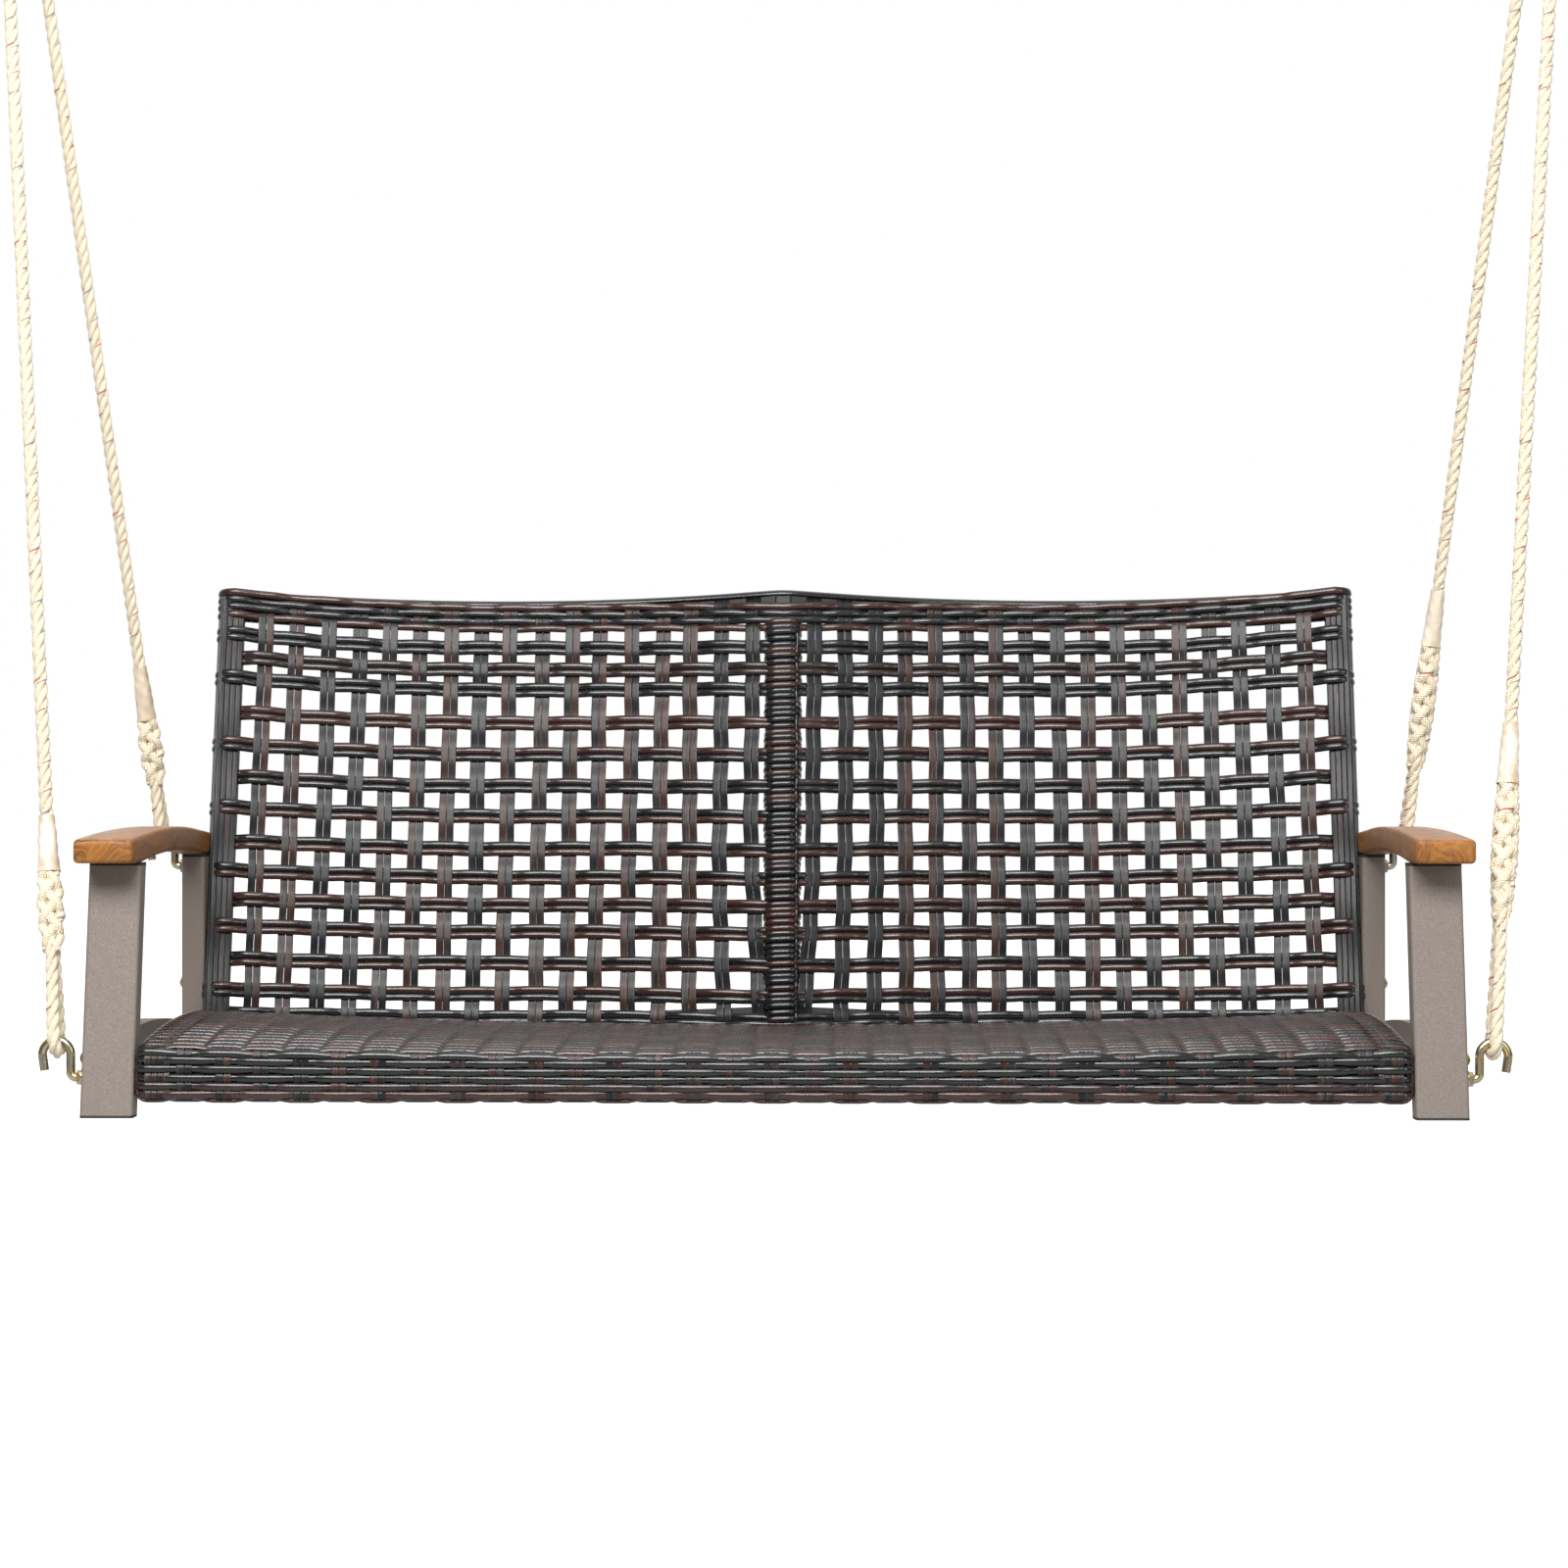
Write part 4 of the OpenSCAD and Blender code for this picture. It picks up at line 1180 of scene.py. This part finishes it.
@dataclass
class HangingRope:
    """A laid rope with a spliced eye at each end and a shrunk sleeve over the lower splice's tail."""

    finishes: Finishes
    plan: RopePlan
    radius: float = 6.5
    lay: float = 41.0
    eye: float = 11.0
    wire: float = 4.2
    arch: float = 13.4
    top_leg: float = 60.0
    top_splice: float = 90.0

    def __post_init__(self) -> None:
        """Finds both ends from the hook and the ring that hold them."""
        hook_low, hook_high = (np.array(c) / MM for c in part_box("hook_" + self.plan.tag))
        outer = hook_high[0] if self.plan.side > 0 else hook_low[0]
        arch_x = outer - self.plan.side * (self.arch + self.wire)
        self.low = np.array([arch_x, (hook_low[1] + hook_high[1]) / 2, hook_high[2] - self.wire])
        ring = "ring_right" if self.plan.side > 0 else "ring_left"
        ring_low, ring_high = (np.array(c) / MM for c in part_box(ring))
        ring_mid = (ring_low + ring_high) / 2
        swing_out = math.radians(20 if self.plan.rear else -20)
        bow = (ring_high[1] - ring_low[1]) / 2 - 5
        self.high = ring_mid + np.array([0, bow * math.sin(swing_out), -bow * math.cos(swing_out)])
        self.span = float(np.linalg.norm(self.high - self.low))
        self.axis = (self.high - self.low) / self.span
        back = np.array([0.0, 1.0, 0.0])
        self.wide = back - self.axis * (back @ self.axis)
        self.wide /= np.linalg.norm(self.wide)
        self.third = np.cross(self.wide, self.axis)

    def place(self, across, up, third=0.0) -> np.ndarray:
        """World place of a point given across the eye, up the rope and out of the eye's plane.

        Args:
            across: along the eye's width.
            up: along the rope.
            third: out of the eye's plane.

        Returns:
            Points in metres.
        """
        across, up, third = np.broadcast_arrays(np.asarray(across, float), np.asarray(up, float), third)
        point = self.low + across[..., None] * self.wide + up[..., None] * self.axis
        return (point + third[..., None] * self.third) * MM

    @staticmethod
    def evenly(points: np.ndarray, step: float = 3.2) -> np.ndarray:
        """The same line with evenly spaced points, step millimetres apart.

        Args:
            points: a line in metres.
            step: the new spacing in millimetres.

        Returns:
            The new points.
        """
        lengths = np.concatenate([[0], np.cumsum(np.linalg.norm(np.diff(points, axis=0), axis=1))])
        count = max(4, int(lengths[-1] / (step * MM)))
        at = np.linspace(0, lengths[-1], count)
        return np.stack([np.interp(at, lengths, points[:, k]) for k in range(3)], axis=1)

    def leg_line(self, side: int, start: float, upper: bool) -> np.ndarray:
        """One leg of an eye, from under the wire to where the legs meet.

        Args:
            side: which leg, -1 or 1.
            start: the angle round the wire where it starts, in degrees from straight below.
            upper: whether it is the eye at the ring.

        Returns:
            Its points.
        """
        leg = self.top_leg if upper else self.plan.leg
        eye = self.eye + (0.8 if upper else 0)
        turn = np.radians(np.linspace(start, 90, 3 + int((90 - start) / 7)))
        across = list(side * eye * np.sin(turn))
        up = list(-eye * np.cos(turn))
        share = np.linspace(0, 1, 18)[1:]
        soft = share * share * (3 - 2 * share)
        across += list(side * (eye * (1 - soft) + 5.2 * soft))
        up += list(share * leg)
        up = np.array(up)
        return self.place(np.array(across), self.span - up if upper else up)

    def laid(self, bundle: Bundle, line: np.ndarray, radius: float, taper: float = 0.0) -> None:
        """Three twisted strands along a line.

        Args:
            bundle: what they join.
            line: the rope's centre line.
            radius: the rope's own.
            taper: the share by which the rope thins at its last points.
        """
        line = self.evenly(line)
        along = unit(np.gradient(line, axis=0))
        lengths = np.concatenate([[0], np.cumsum(np.linalg.norm(np.diff(line, axis=0), axis=1))]) / MM
        first = self.third / np.linalg.norm(self.third)
        side = unit(first - along * (along @ first)[:, None])
        other = np.cross(along, side)
        thin = 1 - taper * np.linspace(0, 1, len(line)) ** 3
        for k in range(3):
            angle = 2 * math.pi * (lengths / self.lay + k / 3)
            way = np.cos(angle)[:, None] * side + np.sin(angle)[:, None] * other
            path = line + way * (radius * 0.50 * thin)[:, None] * MM
            section = round_section(radius * 0.52, 9)[None] * thin[:, None, None] * MM
            bundle.sweep(path, way, section)

    def braid(self, bundle: Bundle, start: float, length: float, widest: float, flip: bool) -> None:
        """Six strands tucked over and under each other round the rope, fattest at the middle.

        Args:
            bundle: what they join.
            start: where it begins, up the rope.
            length: how far it runs.
            widest: its radius where it is fattest.
            flip: whether it fattens towards its lower end instead.
        """
        share = np.linspace(0, 1, int(length / 2.6))
        bulge = np.interp(share, [0, 0.16, 0.42, 0.72, 1], [0.56, 0.80, 1.0, 0.93, 0.66])
        bulge = bulge[::-1] if flip else bulge
        up = start + share * length
        strand = 5.0
        for k in range(6):
            hand = 1 if k < 3 else -1
            angle = hand * 2 * math.pi * (share * length / 66 + k / 3) + (0.5 if k > 2 else 0)
            weave = 1.1 * np.cos(6 * math.pi * share * length / 66 + (0 if hand > 0 else math.pi))
            reach = bulge * (widest - strand) + weave
            path = self.place(reach * np.cos(angle), up, reach * np.sin(angle))
            way = unit(path - self.place(0, up))
            thick = strand * (0.72 + 0.28 * bulge)
            bundle.sweep(path, way, round_section(1.0, 9)[None] * thick[:, None, None] * MM)

    def build(self) -> None:
        """The rope, its two eyes and its sleeve, each built as its own piece riding on the swing."""
        material = [self.finishes.get(ROPE, "rope")]
        tag, leg, splice = self.plan.tag, self.plan.leg, self.plan.splice
        lower = self.leg_line(1, 88, False)
        upper = self.leg_line(-1, 88, True)[::-1]
        low_join = leg + splice * 0.35
        top_join = self.span - self.top_leg - self.top_splice * 0.35
        straight = self.place(0, np.arange(low_join, top_join, 8.0))
        line = self.evenly(np.vstack([lower, straight, upper]), 3.2)
        rope = Bundle("rope_run_" + tag, material)
        self.laid(rope, line, self.radius)
        run = rope.build(SWING, ("rope_" + tag,), 60)

        eye = Bundle("rope_eye_" + tag, material)
        tucked = self.place([-3.0, -1.5], [leg + splice * 0.2, leg + splice * 0.4])
        second = np.vstack([self.leg_line(-1, -92, False), tucked])
        self.laid(eye, second, self.radius, 0.25)
        self.braid(eye, leg - 4, splice + 6, 12.9, False)
        low_eye = eye.build(SWING, ("eye_" + tag,), 60)

        top = Bundle("rope_top_eye_" + tag, material)
        reach = self.span - self.top_leg
        second = np.vstack([self.leg_line(1, -92, True), self.place([3.0, 1.5], [reach - 20, reach - 34])])
        self.laid(top, second, self.radius, 0.25)
        self.braid(top, reach - self.top_splice - 2, self.top_splice + 6, 12.6, True)
        top_eye = top.build(SWING, ("top_eye_" + tag,), 60)

        sleeve = self.sleeve(leg + splice - 2)

    def sleeve(self, start: float) -> bpy.types.Object:
        """The shrunk sleeve: a tapered skin, open at both ends, that shows the strands beneath it.

        Args:
            start: how far up the rope it begins.

        Returns:
            The sleeve's object.
        """
        name = "rope_sleeve_" + self.plan.tag
        rows, sides = 26, 40
        turn = np.linspace(0, 2 * math.pi, sides, endpoint=False)
        share = np.linspace(0, 1, rows)
        skin = []
        for grow, order in ((0.0, share), (-0.9, share[::-1])):
            for t in order:
                radius = 10.8 + (7.5 - 10.8) * t**0.75 + grow
                angle = 3 * (turn - 2 * math.pi * (start + t * self.plan.sleeve) / self.lay)
                ripple = 0.28 * np.cos(angle) + 0.25 * math.sin(9 * t + self.plan.leg)
                radii = radius + ripple
                level = start + t * self.plan.sleeve
                skin.append(self.place(radii * np.cos(turn), level, radii * np.sin(turn)))
        verts = np.vstack(skin)
        rings = len(skin)
        faces = []
        for i in range(rings):
            for k in range(sides):
                a, b = i * sides + k, i * sides + (k + 1) % sides
                c, d = ((i + 1) % rings) * sides + (k + 1) % sides, ((i + 1) % rings) * sides + k
                faces.append((d, c, b, a))
        mesh = bpy.data.meshes.new(name)
        mesh.from_pydata(verts.tolist(), [], faces)
        mesh.materials.append(self.finishes.get(SLEEVE, "sleeve"))
        mesh.shade_smooth()
        mesh.set_sharp_from_angle(angle=math.radians(60))
        piece = bpy.data.objects.new(name, mesh)
        bpy.context.scene.collection.objects.link(piece)
        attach(piece, SWING)
        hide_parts("sleeve_" + self.plan.tag)
        return piece


# ---- frame, studio and camera ----


@dataclass
class FrameFinishes:
    """Dresses the CAD pieces that stay in view."""

    finishes: Finishes

    def dress(self, finish: Finish, effect: str, nodes: tuple) -> None:
        """Gives every slot of these CAD nodes one material.

        Args:
            finish: the finish to give.
            effect: the shared effect that it uses.
            nodes: the CAD nodes' names.
        """
        material = self.finishes.get(finish, effect)
        for name in nodes:
            piece = frame["nodes"][name]
            if not piece.data.materials:
                piece.data.materials.append(material)
            for slot in piece.material_slots:
                slot.material = material

    def build(self) -> None:
        """Coats the posts and rails, plates the hardware and blackens what the weave covers."""
        sides = ("left", "right")
        outside = [f"{part}_{s}" for part in ("front_post", "rear_post", "side_rail") for s in sides]
        self.dress(COAT, "coat", tuple(outside))
        inner = [f"{part}_{s}" for part in ("seat_side", "back_side") for s in sides]
        inner += ["seat_front_tube", "seat_rear_tube", "seat_supports", "back_spine", "back_top_tube"]
        inner += ["back_bottom_tube", "seat_spacers", "back_spacers"]
        self.dress(BLACK_COAT, "coat", tuple(inner))
        self.dress(RUBBER, "coat", ("foot_plugs", "post_caps"))
        hooks = [f"hook_{end}_{s}" for end in ("front", "rear") for s in sides]
        hooks += ["hook_nuts", "hook_washers", "seat_bolts", "rail_bolts", "back_bolts", "armrest_screws"]
        self.dress(ZINC, "plating", tuple(hooks))
        hangers = [f"{part}_{s}" for part in ("ceiling_hook", "ring") for s in sides]
        self.dress(STEEL, "plating", tuple(hangers))


@dataclass
class Studio:
    """Pale floor, pale even light and the camera in front of the bench."""

    floor_h: float = -430.0
    eye_x: float = 66.0
    eye_ahead: float = 3148.0
    eye_h: float = 303.0
    turn: float = math.radians(1.0)
    lens: float = 77.4
    rise: float = 0.0071

    def camera(self) -> None:
        """Places the camera."""
        data = bpy.data.cameras.new("camera")
        data.sensor_fit = "HORIZONTAL"
        data.sensor_width = 36.0
        data.lens = self.lens
        data.shift_y = self.rise
        data.clip_end = 60.0
        eye = bpy.data.objects.new("camera", data)
        eye.location = world(self.eye_x, -self.eye_ahead, self.eye_h)
        eye.rotation_euler = (math.pi / 2, 0.0, self.turn)
        bpy.context.scene.collection.objects.link(eye)
        bpy.context.scene.camera = eye

    def lamp(self, name: str, place: tuple, aim: tuple, size: tuple, power: float) -> None:
        """One large soft light.

        Args:
            name: the object's name.
            place: where it stands, in metres.
            aim: the point that it faces.
            size: its width and height.
            power: watts.
        """
        data = bpy.data.lights.new(name, "AREA")
        data.shape = "RECTANGLE"
        data.size, data.size_y = size
        data.energy = power
        lamp = bpy.data.objects.new(name, data)
        lamp.location = place
        way = np.array(aim) - np.array(place)
        flat = math.hypot(way[0], way[1])
        lamp.rotation_euler = (math.atan2(flat, -way[2]), 0.0, math.atan2(-way[0], way[1]))
        bpy.context.scene.collection.objects.link(lamp)

    def build(self) -> None:
        """The whole studio."""
        material = bpy.data.materials.new("studio_floor")
        material.use_nodes = True
        shader = material.node_tree.nodes["Principled BSDF"]
        shader.inputs["Base Color"].default_value = (0.5, 0.5, 0.5, 1)
        shader.inputs["Roughness"].default_value = 0.9
        shader.inputs["Specular IOR Level"].default_value = 0.1
        shader.inputs["Emission Color"].default_value = (1, 1, 1, 1)
        direct = material.node_tree.nodes.new("ShaderNodeLightPath").outputs["Is Camera Ray"]
        material.node_tree.links.new(direct, shader.inputs["Emission Strength"])
        mesh = bpy.data.meshes.new("floor")
        low = world(0, 0, self.floor_h)[2]
        mesh.from_pydata([(-30, -30, low), (30, -30, low), (30, 30, low), (-30, 30, low)], [], [(0, 1, 2, 3)])
        mesh.materials.append(material)
        floor = bpy.data.objects.new("floor", mesh)
        bpy.context.scene.collection.objects.link(floor)
        sky = bpy.data.worlds.new("studio")
        sky.use_nodes = True
        tree = Tree(sky.node_tree)
        way = tree.add("SeparateXYZ", Vector=tree.add("TexCoord").outputs["Generated"])
        bright = tree.ramp(way.outputs[1], -0.05, 0.5)
        lift = tree.math("MULTIPLY", tree.ramp(way.outputs[2], 0.1, 0.9), 0.25)
        level = tree.math("MULTIPLY_ADD", bright, 0.92, tree.math("ADD", lift, 0.08))
        level = tree.math("MINIMUM", level, 1.0)
        seen = tree.add("LightPath").outputs["Is Camera Ray"]
        level = tree.math("MAXIMUM", level, seen)
        back = sky.node_tree.nodes["Background"]
        sky.node_tree.links.new(level, back.inputs["Strength"])
        back.inputs["Color"].default_value = (1.0, 1.0, 1.0, 1)
        bpy.context.scene.world = sky
        bpy.context.scene.view_settings.view_transform = "Standard"
        self.lamp("key", (-0.5, -3.0, 0.95), (0, 0, -1.3), (3.0, 1.5), 215)
        self.lamp("fill", (2.8, -3.0, 0.0), (0, 0, -1.35), (0.7, 2.2), 30)
        self.lamp("over", (0.0, -0.8, 1.4), (0, 0, -1.5), (1.6, 1.1), 14)
        self.camera()


def main() -> None:
    """Builds every piece in order."""
    logging.basicConfig(level=logging.INFO, format="%(name)s %(message)s")
    rng = np.random.default_rng(SEED)
    finishes = Finishes()
    Studio().build()
    for plan in PLANS:
        HangingRope(finishes, plan).build()
    FrameFinishes(finishes).build()
    WovenBack(finishes, rng).build()
    WovenSeat(finishes, rng).build()
    for side in (-1, 1):
        Armrest(finishes, side).build()
    bpy.context.view_layer.update()


if __name__ == "__main__":
    main()
